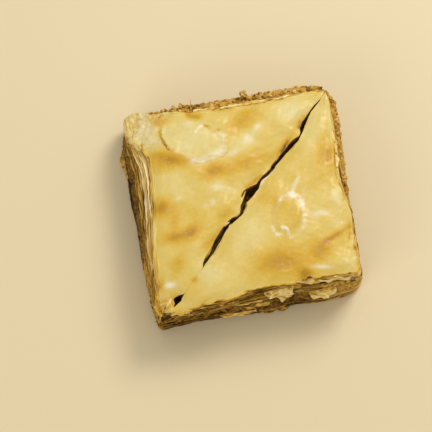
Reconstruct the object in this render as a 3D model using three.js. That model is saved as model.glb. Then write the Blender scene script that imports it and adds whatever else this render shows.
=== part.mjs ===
// A square piece of baklava, cut corner to corner into two triangular halves that stay together.
// Each half is a stack of three solids: lower filo, chopped-nut filling and upper filo.
// Millimetres, +Z up, with the origin under the middle of the piece, on the surface it rests on.
// "back" is the half that holds the back-left corner, "front" the half with the front-right corner.

import * as THREE from 'three';

// ---------------------------------------------------------------- driving dimensions

const LAYER_GAP = 0.3; // clearance between two layers that touch
const LOWER_FILO_TOP = 6.6; // heights of the layers, before the piece settled
const FILLING_TOP = 14.2;
const UPPER_FILO_TOP = 22.4;

// Corners in plan. The top sheet is smaller than the base, as the sheets step in going up.
const CORNERS = {
  backRight: { base: [37.9, 34.9], top: [34.9, 32.0] },
  backLeft: { base: [-36.4, 36.9], top: [-35.4, 35.4] },
  frontLeft: { base: [-36.4, -39.2], top: [-34.3, -37.2] },
  frontRight: { base: [37.2, -34.6], top: [34.4, -35.2] },
};

// Where each outer side runs between its corners, anticlockwise, at the base and at the top sheet.
// nutBulge is how far the filling swells out, at the start and at the end of the side.
const SIDES = {
  back: {
    base: [[24, 37.3], [-2, 36.6], [-26, 36.2]],
    top: [[24.7, 32.2], [14.9, 31.2], [-8, 31.0], [-20.6, 31.7], [-28, 32.2]],
    nutBulge: [3.2, 1.6],
  },
  left: {
    base: [[-38.9, 29], [-39.2, 18], [-38.6, 4], [-37.8, -20]],
    top: [[-35.6, 27], [-31.2, 19], [-30.4, 11], [-31.6, 0], [-33.6, -20], [-34.4, -29]],
    nutBulge: [0.1, 0.1],
  },
  front: {
    base: [[-20, -38.5], [4, -38.9], [12, -38.0], [25, -38.4], [33.5, -37.0]],
    top: [[-20.9, -38.3], [-10.5, -37.4], [-2, -35.6], [6, -34.8], [27.7, -34.4]],
    nutBulge: [-0.2, 0.1],
  },
  right: {
    base: [[37.2, -22], [37.3, -8], [38.0, 8], [38.2, 24]],
    top: [[34.8, -24], [35.4, -14], [34.1, -6], [33.7, 4], [34.9, 14], [35.2, 23]],
    nutBulge: [-0.2, 1.7],
  },
};

// The knife cut wanders off the straight diagonal, from the back-right to the front-left corner.
// Each bend: share of the way along, drift towards the front-right, width at the top.
const CUT_BENDS = [
  { along: 0.0, drift: 0.2, width: 0.5 },
  { along: 0.05, drift: 0.6, width: 0.5 },
  { along: 0.1, drift: 0.3, width: 0.6 },
  { along: 0.15, drift: 0.8, width: 1.4 },
  { along: 0.175, drift: 1.6, width: 1.5 },
  { along: 0.2, drift: 2.8, width: 0.9 },
  { along: 0.225, drift: 2.2, width: 1.6 },
  { along: 0.3, drift: 1.5, width: 1.3 },
  { along: 0.35, drift: 1.3, width: 1.5 },
  { along: 0.41, drift: 0.8, width: 0.8 },
  { along: 0.435, drift: 1.0, width: 1.3 },
  { along: 0.465, drift: 0.5, width: 3.1 },
  { along: 0.5, drift: 0.8, width: 2.2 },
  { along: 0.53, drift: 1.6, width: 2.3 },
  { along: 0.56, drift: 2.2, width: 1.2 },
  { along: 0.6, drift: 1.1, width: 1.5 },
  { along: 0.64, drift: 0.9, width: 1.3 },
  { along: 0.7, drift: 1.7, width: 1.7 },
  { along: 0.74, drift: 2.1, width: 1.2 },
  { along: 0.785, drift: 2.9, width: 0.5 },
  { along: 0.9, drift: 2.9, width: 0.5 },
  { along: 0.93, drift: 2.2, width: 2.5 },
  { along: 0.96, drift: 3.3, width: 0.6 },
  { along: 1.0, drift: 0.9, width: 0.5 },
];
const CUT_WIDTH_BASE = 0.5; // the cut closes towards the bottom
// Away from the cut, the top follows an even bow instead of the cut's bends.
const EVEN_BOW = { drift: 1.5, width: 0.5, bendsFrom: 0.8 };

const CRUSHED_CORNER = { at: [-38, 37], reach: 13, depth: 0.46 }; // share of the height lost
const LOW_TIP = { at: [-37, -39], reach: 14, depth: 0.26 };
const BLISTER = { at: [13.7, -11], length: 7.2, width: 5.2, turn: 68, height: 1.1, hollow: 0.5 };
const LOOSE_FLAKE = { at: [-15, 18.5], length: 13, width: 6.5, turn: -4, height: 0.8, hollow: 0.2 };
const BUMP_SHAPE = { hollowWithin: 0.1, fullAt: 0.62, goneAt: 1.15 }; // shares of its radius
const CROWN_HEIGHT = 0.7; // the middle of each half is fuller than its rim
const RIM_DROP = { from: 0.8, depth: 0.9 };
// Waves of the top sheets; alongX and alongY are the wave's lengths in those directions.
const SLOW_WAVES = [
  { height: 0.42, alongX: 47, alongY: 80, strand: 1 },
  { height: 0.34, alongX: -90, alongY: 39, strand: 2 },
];
const CORNER_WRINKLES = { height: 0.7, alongX: 15, alongY: -21, strand: 3 };
const CORNER_WRINKLED = { within: 8, upTo: 26 }; // distances from the crushed corner

// How the outer side of each layer steps up. height is before settling; rise is how far the side
// has stepped in, from 0 at the base outline to 1 at the top sheet's outline; ragged is how far
// the sheet edges there wander, and swell the share of the side's nut bulge.
const BOTTOM_RISE = 0.3; // the bottom edge is rounded under
const LOWER_EDGE_RISE = 0.12; // where the filling's bottom face ends
const FILLING_EDGE_RISE = 0.34; // where the filling's top face ends
const LOWER_STEPS = [
  { height: 1.3, rise: 0.02, ragged: 0.2 },
  { height: 3.0, rise: 0.0, ragged: 0.35 },
  { height: 3.2, rise: 0.1, ragged: 0.3 },
  { height: 5.2, rise: 0.05, ragged: 0.4 },
];
const NUT_STEPS = [
  { height: 8.4, rise: 0.13, swell: 0.4 },
  { height: 10.6, rise: 0.18, swell: 1.0 },
  { height: 12.7, rise: 0.26, swell: 0.9 },
];
const UPPER_LEDGES = [
  { height: 16.2, rise: 0.36, treadTo: 0.52 },
  { height: 18.3, rise: 0.54, treadTo: 0.7 },
  { height: 20.2, rise: 0.72, treadTo: 0.88 },
];
const LEDGE_RAGGED = 0.55;
const TREAD_LIFT = 0.15;
// How an edge wanders: waves on a side, how far the next side starts along, share kept on the cut.
const EDGE_WANDER = { waves: 4.3, shift: 0.37, onCut: 0.22 };
// Single nuts stand out or sink in by depth.
const NUT_LUMPS = { depth: 0.7, waves: 3.4, shift: 0.2, onCut: 0.5 };

// Net of each solid: points along the sides and rings from the middle of a half to its edge.
const POINTS_ON_CUT = 44;
const POINTS_ON_SIDE = 32;
const INNER_RINGS = [0.6];
const TOP_RINGS = [0.955, 0.85, 0.73, 0.6, 0.46, 0.31, 0.155];
const CORNER_ROUNDING_PASSES = 2;

const FILO_GOLD = { color: 0xdcbd66, roughness: 0.34 };
const NUT_BROWN = { color: 0xa57f48, roughness: 0.62 };
const SYRUP_SOAKED_FILO = { color: 0xbf9a4e, roughness: 0.45 };

// ---------------------------------------------------------------- small functions

const lerp = THREE.MathUtils.lerp;
const mix = (a, b, share) => [lerp(a[0], b[0], share), lerp(a[1], b[1], share)];
const smooth = (value, from, to) => THREE.MathUtils.smoothstep(value, from, to);

// An uneven wave between about -1 and 1, the same on every run; each strand has its own shape.
function unevenWave(turns, strand) {
  const angle = 2 * Math.PI * turns;
  return (
    0.5 * Math.sin(angle + 2.4 * strand) +
    0.3 * Math.sin(2.3 * angle + 5.1 * strand) +
    0.2 * Math.sin(4.7 * angle + 1.7 * strand)
  );
}

// A value from the table of bends, eased from one bend to the next.
function bendValue(along, key) {
  const next = Math.max(1, CUT_BENDS.findIndex((bend) => bend.along >= along));
  const [before, after] = [CUT_BENDS[next - 1], CUT_BENDS[next]];
  return lerp(before[key], after[key], smooth(along, before.along, after.along));
}

// Height of a round bump on the top: full inside, or with a rim round a slightly hollow middle.
function bump(x, y, { at, length, width, turn, height, hollow }) {
  const angle = THREE.MathUtils.degToRad(turn);
  const [dx, dy] = [x - at[0], y - at[1]];
  const along = (dx * Math.cos(angle) + dy * Math.sin(angle)) / length;
  const across = (dy * Math.cos(angle) - dx * Math.sin(angle)) / width;
  const radius = Math.hypot(along, across);
  const { hollowWithin, fullAt, goneAt } = BUMP_SHAPE;
  const kept = 1 - hollow * (1 - smooth(radius, hollowWithin, fullAt));
  return height * kept * (1 - smooth(radius, fullAt, goneAt));
}

// Share of its height that the stack keeps at a place: the crushed corner and one tip are lower.
function settled(x, y) {
  const lost = [CRUSHED_CORNER, LOW_TIP].map(({ at, reach, depth }) => {
    const distance = Math.hypot(x - at[0], y - at[1]) / reach;
    return depth * Math.exp(-distance * distance);
  });
  return 1 - lost[0] - lost[1];
}

// Relief of the top sheets: slow waves, wrinkles by the crushed corner, a blister, a loose flake.
function topRelief(x, y) {
  const wave = ({ height, alongX, alongY, strand }) =>
    height * unevenWave(x / alongX + y / alongY, strand);
  const fromCorner = Math.hypot(x - CRUSHED_CORNER.at[0], y - CRUSHED_CORNER.at[1]);
  const wrinkled = 1 - smooth(fromCorner, CORNER_WRINKLED.within, CORNER_WRINKLED.upTo);
  const slow = SLOW_WAVES.reduce((total, entry) => total + wave(entry), 0);
  return slow + wrinkled * wave(CORNER_WRINKLES) + bump(x, y, BLISTER) + bump(x, y, LOOSE_FLAKE);
}

// ---------------------------------------------------------------- the outline of a half

const cutAcross = (() => {
  const from = CORNERS.backRight.top;
  const to = CORNERS.frontLeft.top;
  const length = Math.hypot(to[0] - from[0], to[1] - from[1]);
  return [(from[1] - to[1]) / length, (to[0] - from[0]) / length];
})();

// A point on one wall of the cut, at a share of the way along it; side is -1 or 1 across the cut.
// The wander stays over the same place at every height, so that the walls are upright.
function cutWall(level, along, side) {
  const share = shareOfCut(level, along);
  const width = level === 'top' ? bendValue(share, 'width') : CUT_WIDTH_BASE;
  return besideDiagonal(level, along, bendValue(share, 'drift') + (side * width) / 2);
}

// The same wall as an even bow.
function evenWall(along, side) {
  const drift = EVEN_BOW.drift * Math.sin(Math.PI * along);
  return besideDiagonal('top', along, drift + (side * EVEN_BOW.width) / 2);
}

// A point on the diagonal of a level, moved across the cut.
function besideDiagonal(level, along, shift) {
  const [x, y] = mix(CORNERS.backRight[level], CORNERS.frontLeft[level], along);
  return [x + cutAcross[0] * shift, y + cutAcross[1] * shift];
}

// The share of the way along the top's diagonal that lies over a point on a level's diagonal.
function shareOfCut(level, along) {
  const [x, y] = mix(CORNERS.backRight[level], CORNERS.frontLeft[level], along);
  const [from, to] = [CORNERS.backRight.top, CORNERS.frontLeft.top];
  const run = [to[0] - from[0], to[1] - from[1]];
  const shareAtTop = ((x - from[0]) * run[0] + (y - from[1]) * run[1]) / (run[0] ** 2 + run[1] ** 2);
  return THREE.MathUtils.clamp(shareAtTop, 0, 1);
}

// The perimeter of a half, anticlockwise from above: two outer sides, then its wall of the cut.
// Each entry has the point at the base and at the top sheet, which way is outwards, how far along
// its side it is, and the side's number: 0 for the cut, 1 and 2 for the outer sides. On the cut it
// also has the point of the even bow.
function halfOutline({ sides, corners, side }) {
  const tip = (name, level) => cutWall(level, name === 'backRight' ? 0 : 1, side);
  const cornerAt = [
    (level) => tip(corners[0], level),
    (level) => CORNERS[corners[1]][level],
    (level) => tip(corners[2], level),
  ];
  const outline = [];
  sides.forEach(({ name, outward }, index) => {
    const spaced = (level) => {
      const stops = [cornerAt[index](level), ...SIDES[name][level], cornerAt[index + 1](level)];
      const curve = new THREE.SplineCurve(stops.map(([x, y]) => new THREE.Vector2(x, y)));
      return curve.getSpacedPoints(POINTS_ON_SIDE).map(({ x, y }) => [x, y]);
    };
    const [base, top] = [spaced('base'), spaced('top')];
    for (let step = 0; step < POINTS_ON_SIDE; step += 1) {
      const share = step / POINTS_ON_SIDE;
      const nutBulge = lerp(...SIDES[name].nutBulge, share);
      outline.push({ base: base[step], top: top[step], outward, share, nutBulge, number: index + 1 });
    }
  });
  for (let step = 0; step < POINTS_ON_CUT; step += 1) {
    const share = step / POINTS_ON_CUT;
    const along = corners[0] === 'backRight' ? 1 - share : share;
    const outward = [-side * cutAcross[0], -side * cutAcross[1]];
    const [base, top] = ['base', 'top'].map((level) => cutWall(level, along, side));
    outline.push({ base, top, even: evenWall(along, side), outward, share, number: 0 });
  }
  return roundCorners(outline);
}

// Softens the three corners by averaging each corner's points with their neighbours.
function roundCorners(outline) {
  const count = outline.length;
  const corners = [0, POINTS_ON_SIDE, 2 * POINTS_ON_SIDE];
  let rounded = outline;
  for (let pass = 0; pass < CORNER_ROUNDING_PASSES; pass += 1) {
    const before = rounded;
    rounded = before.map((entry, index) => {
      const nearest = Math.min(...corners.map((at) => {
        const apart = Math.abs(index - at);
        return Math.min(apart, count - apart);
      }));
      if (nearest > 1) {
        return entry;
      }
      const [previous, next] = [before[(index + count - 1) % count], before[(index + 1) % count]];
      const average = (level) => mix(mix(previous[level], next[level], 0.5), entry[level], 0.5);
      return { ...entry, base: average('base'), top: average('top') };
    });
  }
  return rounded;
}

// ---------------------------------------------------------------- rings and solids

// One ring round a half, between its base outline and its top sheet's outline.
// bulge(entry) moves a point outwards, scale shrinks the ring towards the middle of the half, evened
// is how far the cut's bends give way to its even bow, and lift and relief add to the settled height.
function ring(half, options) {
  const { height, lift = 0, rise, bulge, scale = 1, evened = 0, relief } = options;
  return half.outline.map((entry) => {
    const bent = mix(entry.base, entry.top, rise);
    const flat = entry.even ? mix(bent, entry.even, evened) : bent;
    const out = bulge ? bulge(entry) : 0;
    const edge = [flat[0] + entry.outward[0] * out, flat[1] + entry.outward[1] * out];
    const [x, y] = mix(half.middle, edge, scale);
    return new THREE.Vector3(x, y, height * settled(x, y) + lift + (relief ? relief(x, y) : 0));
  });
}

// A closed solid through rings that run from the middle of the bottom, out, up the side and
// back in to the middle of the top.
function ringSolid(rings) {
  const count = rings[0].length;
  const centre = (points) => {
    const sum = points.reduce((total, point) => total.add(point), new THREE.Vector3());
    return sum.divideScalar(count);
  };
  const points = [...rings.flat(), centre(rings[0]), centre(rings.at(-1))];
  const [bottom, top] = [points.length - 2, points.length - 1];
  const faces = [];
  for (let step = 0; step < count; step += 1) {
    const next = (step + 1) % count;
    faces.push(bottom, next, step);
    for (let row = 0; row < rings.length - 1; row += 1) {
      const [a, b] = [row * count + step, row * count + next];
      faces.push(a, b, b + count, a, b + count, a + count);
    }
    const last = (rings.length - 1) * count;
    faces.push(top, last + step, last + next);
  }
  const geometry = new THREE.BufferGeometry().setFromPoints(points);
  geometry.setIndex(faces);
  return geometry;
}

// Flat rings of a face between two layers, from the middle out to its edge or back.
function facingRings(half, face) {
  return INNER_RINGS.map((scale) => ring(half, { ...face, scale }));
}

// How far the edge of a sheet stands out from an even step; walls of the cut only dent inwards.
const raggedEdge = (amount, strand) => (entry) => {
  const { waves, shift, onCut } = EDGE_WANDER;
  const wave = unevenWave(waves * entry.share + shift * entry.number, strand);
  return entry.number === 0 ? -onCut * amount * (1 + wave) : amount * wave;
};

// Chopped nuts at the sides: a bulge between the filo layers, broken up into lumps.
const nutLumps = (swell, strand) => (entry) => {
  const { depth, waves, shift, onCut } = NUT_LUMPS;
  const lump = depth * unevenWave(waves * entry.share + shift * strand, strand + entry.number);
  return entry.number === 0 ? -onCut * (depth + lump) : swell * entry.nutBulge + lump;
};

// ---------------------------------------------------------------- the three layers of a half

function lowerFilo(half) {
  const topFace = { height: LOWER_FILO_TOP, rise: LOWER_EDGE_RISE };
  const sides = LOWER_STEPS.map(({ height, rise, ragged }, number) =>
    ring(half, { height, rise, bulge: raggedEdge(ragged, half.strand + 11 + number) }));
  return ringSolid([
    ...facingRings(half, { height: 0, rise: BOTTOM_RISE }),
    ring(half, { height: 0, rise: BOTTOM_RISE }),
    ...sides,
    ring(half, topFace),
    ...facingRings(half, topFace),
  ]);
}

function nutFilling(half) {
  const lift = LAYER_GAP;
  const bottomFace = { height: LOWER_FILO_TOP, lift, rise: LOWER_EDGE_RISE };
  const topFace = { height: FILLING_TOP, lift, rise: FILLING_EDGE_RISE };
  const sides = NUT_STEPS.map(({ height, rise, swell }, number) =>
    ring(half, { height, lift, rise, bulge: nutLumps(swell, half.strand + 21 + number) }));
  return ringSolid([
    ...facingRings(half, bottomFace),
    ring(half, bottomFace),
    ...sides,
    ring(half, topFace),
    ...facingRings(half, topFace),
  ]);
}

function upperFilo(half) {
  const lift = 2 * LAYER_GAP;
  const bottomFace = { height: FILLING_TOP, lift, rise: FILLING_EDGE_RISE };
  const ledges = UPPER_LEDGES.flatMap(({ height, rise, treadTo }, number) => {
    const edge = raggedEdge(LEDGE_RAGGED, half.strand + 31 + number);
    const nextEdge = raggedEdge(LEDGE_RAGGED, half.strand + 32 + number);
    return [
      ring(half, { height, lift, rise, bulge: edge }),
      ring(half, { height: height + TREAD_LIFT, lift, rise: treadTo, bulge: nextEdge }),
    ];
  });
  const topSheet = (scale) => {
    const drop = RIM_DROP.depth * smooth(scale, RIM_DROP.from, 1);
    const fullness = CROWN_HEIGHT * (1 - scale ** 4) - drop;
    const relief = (x, y) => fullness + topRelief(x, y);
    const evened = 1 - smooth(scale, EVEN_BOW.bendsFrom, 1);
    return ring(half, { height: UPPER_FILO_TOP, lift, rise: 1, scale, evened, relief });
  };
  return ringSolid([
    ...facingRings(half, bottomFace),
    ring(half, bottomFace),
    ...ledges,
    ...[1, ...TOP_RINGS].map(topSheet),
  ]);
}

// ---------------------------------------------------------------- assembly

const HALVES = [
  {
    name: 'back',
    corners: ['backRight', 'backLeft', 'frontLeft'],
    sides: [{ name: 'back', outward: [0, 1] }, { name: 'left', outward: [-1, 0] }],
    side: -1,
    strand: 0,
  },
  {
    name: 'front',
    corners: ['frontLeft', 'frontRight', 'backRight'],
    sides: [{ name: 'front', outward: [0, -1] }, { name: 'right', outward: [1, 0] }],
    side: 1,
    strand: 5,
  },
];

const LAYERS = [
  { name: 'lower_filo', shape: lowerFilo, finish: SYRUP_SOAKED_FILO },
  { name: 'nut_filling', shape: nutFilling, finish: NUT_BROWN },
  { name: 'upper_filo', shape: upperFilo, finish: FILO_GOLD },
];

function layerMesh(half, { name, shape, finish }) {
  const geometry = shape(half);
  geometry.computeVertexNormals();
  const mesh = new THREE.Mesh(geometry, new THREE.MeshStandardMaterial({ ...finish, metalness: 0 }));
  mesh.name = `${half.name}_${name}`;
  return mesh;
}

const baklava = new THREE.Group();
baklava.name = 'baklava_piece';
for (const half of HALVES) {
  half.outline = halfOutline(half);
  const sum = half.outline.reduce((total, { top }) => [total[0] + top[0], total[1] + top[1]], [0, 0]);
  half.middle = sum.map((value) => value / half.outline.length);
  const halfGroup = new THREE.Group();
  halfGroup.name = `${half.name}_half`;
  LAYERS.forEach((layer) => halfGroup.add(layerMesh(half, layer)));
  baklava.add(halfGroup);
}

export default baklava;
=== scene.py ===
"""A square piece of baklava, cut corner to corner: crisp filo sheets over and under chopped nuts.

Shapes are worked out in millimetres in the model's own frame and written to the meshes in metres.
Each half of the piece is a pile of thin closed sheets over a lumpy filling; every sheet is a set of
rings round the half, from the middle of its underside out to its edge and back in over its top.
"""

import math

import bpy
import numpy as np
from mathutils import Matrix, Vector


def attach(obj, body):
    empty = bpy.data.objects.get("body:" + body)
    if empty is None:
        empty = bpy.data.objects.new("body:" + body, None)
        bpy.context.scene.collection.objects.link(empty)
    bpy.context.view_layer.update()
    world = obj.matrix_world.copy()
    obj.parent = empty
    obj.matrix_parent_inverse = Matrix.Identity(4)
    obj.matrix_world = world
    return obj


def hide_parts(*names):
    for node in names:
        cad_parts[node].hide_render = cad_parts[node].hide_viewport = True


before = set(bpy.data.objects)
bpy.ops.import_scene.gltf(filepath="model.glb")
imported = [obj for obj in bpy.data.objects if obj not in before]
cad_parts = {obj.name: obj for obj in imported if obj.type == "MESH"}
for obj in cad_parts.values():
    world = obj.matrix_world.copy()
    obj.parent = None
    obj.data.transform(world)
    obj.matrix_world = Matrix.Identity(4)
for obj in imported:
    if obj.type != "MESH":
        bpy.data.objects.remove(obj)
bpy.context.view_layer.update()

MM = 0.001

# ------------------------------------------------------------------ sizes of the piece, millimetres

# Heights of the three layers, and the gap between two of them.
LAYER_GAP = 0.3
LOWER_FILO_TOP = 6.6
FILLING_TOP = 14.2
UPPER_FILO_TOP = 22.4

# The four corners of the piece at its base and at its top sheet.
CORNERS = {
    "backRight": {"base": (37.9, 34.9), "top": (34.9, 32.0)},
    "backLeft": {"base": (-36.4, 37.3), "top": (-35.6, 36.3)},
    "frontLeft": {"base": (-36.4, -39.2), "top": (-34.3, -37.2)},
    "frontRight": {"base": (37.2, -34.6), "top": (34.4, -35.2)},
}
# Points that each side passes between its corners, anticlockwise, and how far the filling bulges
# out of it at either end.
SIDES = {
    "back": {
        "base": [(24, 37.3), (-2, 36.6), (-26, 36.5)],
        "top": [(24.7, 32.2), (14.9, 31.2), (-8, 31.2), (-20.6, 32.5), (-28, 33.7)],
        "nut_bulge": (3.2, 2.3),
    },
    "left": {
        "base": [(-38.9, 29), (-39.2, 18), (-38.6, 4), (-37.8, -20)],
        "top": [(-35.6, 27), (-31.2, 19), (-30.4, 11), (-31.6, 0), (-33.6, -20), (-34.4, -29)],
        "nut_bulge": (0.1, 0.1),
    },
    "front": {
        "base": [(-20, -38.5), (4, -38.9), (12, -38.0), (25, -38.4), (33.5, -37.0)],
        "top": [(-20.9, -38.3), (-10.5, -37.4), (-2, -35.6), (6, -34.8), (27.7, -34.4)],
        "nut_bulge": (-0.2, 0.1),
    },
    "right": {
        "base": [(37.2, -22), (37.3, -8), (38.0, 8), (38.2, 24)],
        "top": [(34.8, -24), (35.4, -14), (34.1, -6), (33.7, 4), (34.9, 14), (35.2, 23)],
        "nut_bulge": (-0.2, 1.7),
    },
}
# Lips of the knife cut on the top: share of the way along the diagonal from the back-right corner,
# and how far across it the lip is, towards the front-right.
CUT_LIPS = {
    "back": [
        (0.0, 0.15), (0.04, 0.5), (0.051, 0.4), (0.075, 0.03), (0.104, 0.0), (0.132, 0.09),
        (0.15, 0.09), (0.166, 0.46), (0.174, 0.72), (0.185, 1.79), (0.199, 2.36), (0.213, 1.8),
        (0.225, 1.37), (0.241, 1.11), (0.26, 1.11), (0.299, 0.83), (0.347, 0.47), (0.359, 0.82),
        (0.377, 0.77), (0.393, 0.53), (0.413, 0.34), (0.435, 0.36), (0.45, -0.42), (0.465, -1.12),
        (0.474, -1.2), (0.485, -0.85), (0.496, -0.47), (0.507, -0.12), (0.518, 0.2), (0.53, 0.44),
        (0.544, 1.0), (0.557, 1.66), (0.571, 1.5), (0.587, 0.71), (0.601, 0.34), (0.624, 0.2),
        (0.64, 0.23), (0.665, 0.37), (0.691, 0.52), (0.702, 0.86), (0.714, 1.07), (0.725, 1.28),
        (0.738, 1.43), (0.75, 1.5), (0.766, 1.75), (0.777, 2.04), (0.789, 2.86), (0.8, 3.0),
        (0.895, 3.0), (0.903, 2.87), (0.91, 1.95), (0.921, 1.3), (0.932, 0.9), (0.938, 1.1),
        (0.944, 2.2), (0.957, 2.6), (0.966, 3.4), (1.0, 0.7)],
    "front": [
        (0.0, 0.2), (0.04, 0.55), (0.052, 0.75), (0.071, 0.65), (0.1, 0.57), (0.125, 0.94),
        (0.142, 1.28), (0.157, 1.71), (0.169, 2.03), (0.179, 2.5), (0.194, 3.06), (0.202, 3.26),
        (0.212, 3.06), (0.227, 2.99), (0.247, 2.85), (0.289, 2.15), (0.337, 1.87), (0.349, 2.08),
        (0.369, 1.95), (0.383, 1.88), (0.394, 1.6), (0.406, 1.18), (0.416, 1.1), (0.428, 1.39),
        (0.442, 1.95), (0.464, 2.02), (0.477, 2.09), (0.494, 1.99), (0.507, 1.76), (0.517, 2.24),
        (0.531, 2.72), (0.548, 2.88), (0.562, 2.79), (0.574, 2.57), (0.586, 2.34), (0.598, 2.0),
        (0.612, 1.9), (0.623, 1.75), (0.643, 2.0), (0.655, 2.25), (0.669, 2.5), (0.691, 2.8),
        (0.702, 3.0), (0.714, 3.2), (0.729, 3.15), (0.742, 2.95), (0.76, 2.8), (0.773, 2.8),
        (0.787, 3.02), (0.8, 3.03), (0.895, 3.03), (0.903, 3.0), (0.919, 3.14), (0.929, 3.51),
        (0.942, 3.52), (0.954, 3.56), (0.964, 3.6), (1.0, 1.1)],
}
CUT_WIDTH_BASE = 0.5
# Away from the rim the wall of the cut is an even bow, which keeps clear of the notch near one tip.
# The lip's bends fade out inwards from the edge to BENDS_FROM of the way out; BENDS_SOON is how much
# sooner they do where the lip stands inside the bow. notch_at and tip_at are shares of the cut.
EVEN_BOW = {"drift": 1.5, "half_width": 0.25, "notch": 3.1, "notch_at": (0.84, 0.93)}
BENDS_FROM = 0.8
BENDS_SOON = {"inset": 0.14, "near_tip": 0.05, "tip_at": (0.925, 0.94)}

# Forms of the top: the lower corners, the blister, the loose flake, how far from its corner the
# crumpling fades, the crown of the top and the drop along its rim.
CRUSHED_CORNER = {"at": (-38, 37), "reach": 13, "depth": 0.46}
LOW_TIP = {"at": (-37, -39), "reach": 14, "depth": 0.26}
BLISTER = {"at": (13.7, -11), "length": 7.2, "width": 5.2, "turn": 68, "height": 0.9, "hollow": 0.25}
BLISTER_FLOOR = {"at": (14.1, -11.3), "length": 6.6, "width": 5.0, "turn": 80}
LOOSE_FLAKE = {"at": (-15, 18.5), "length": 13, "width": 6.5, "turn": -4, "height": 0.8, "hollow": 0.2}
CRUMPLE_REACH = (8, 26)
CROWN = {"height": 0.7, "reach": 22.0}
RIM_DROP = {"depth": 0.9, "reach": 4.4}
# Height and size of the waves of the top: slight puckers all over, sharp folds where it is crushed.
PUCKERS = [(0.08, 7.5), (0.03, 2.6)]
FOLDS = [(0.42, 6.5), (0.2, 2.8)]

# How far the bottom sheet, the top of the lower filo and that of the filling have stepped in.
BOTTOM_RISE = 0.3
LOWER_EDGE_RISE = 0.12
FILLING_EDGE_RISE = 0.34

# Steps inwards of the eight thick sheets, lowest first, where they are the same in several places.
LEFT_STEPS = (.36, .44, .52, .60, .68, .76, .84, .92)
FRONT_STEPS = (.36, .44, .52, .60, .68, .78, .88, .96)
FRONT_RIGHT_STEPS = (.36, .44, .52, .60, .70, .80, .88, .95)
BACK_RIGHT_STEPS = (.50, .58, .66, .74, .80, .86, .92, .97)
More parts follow.
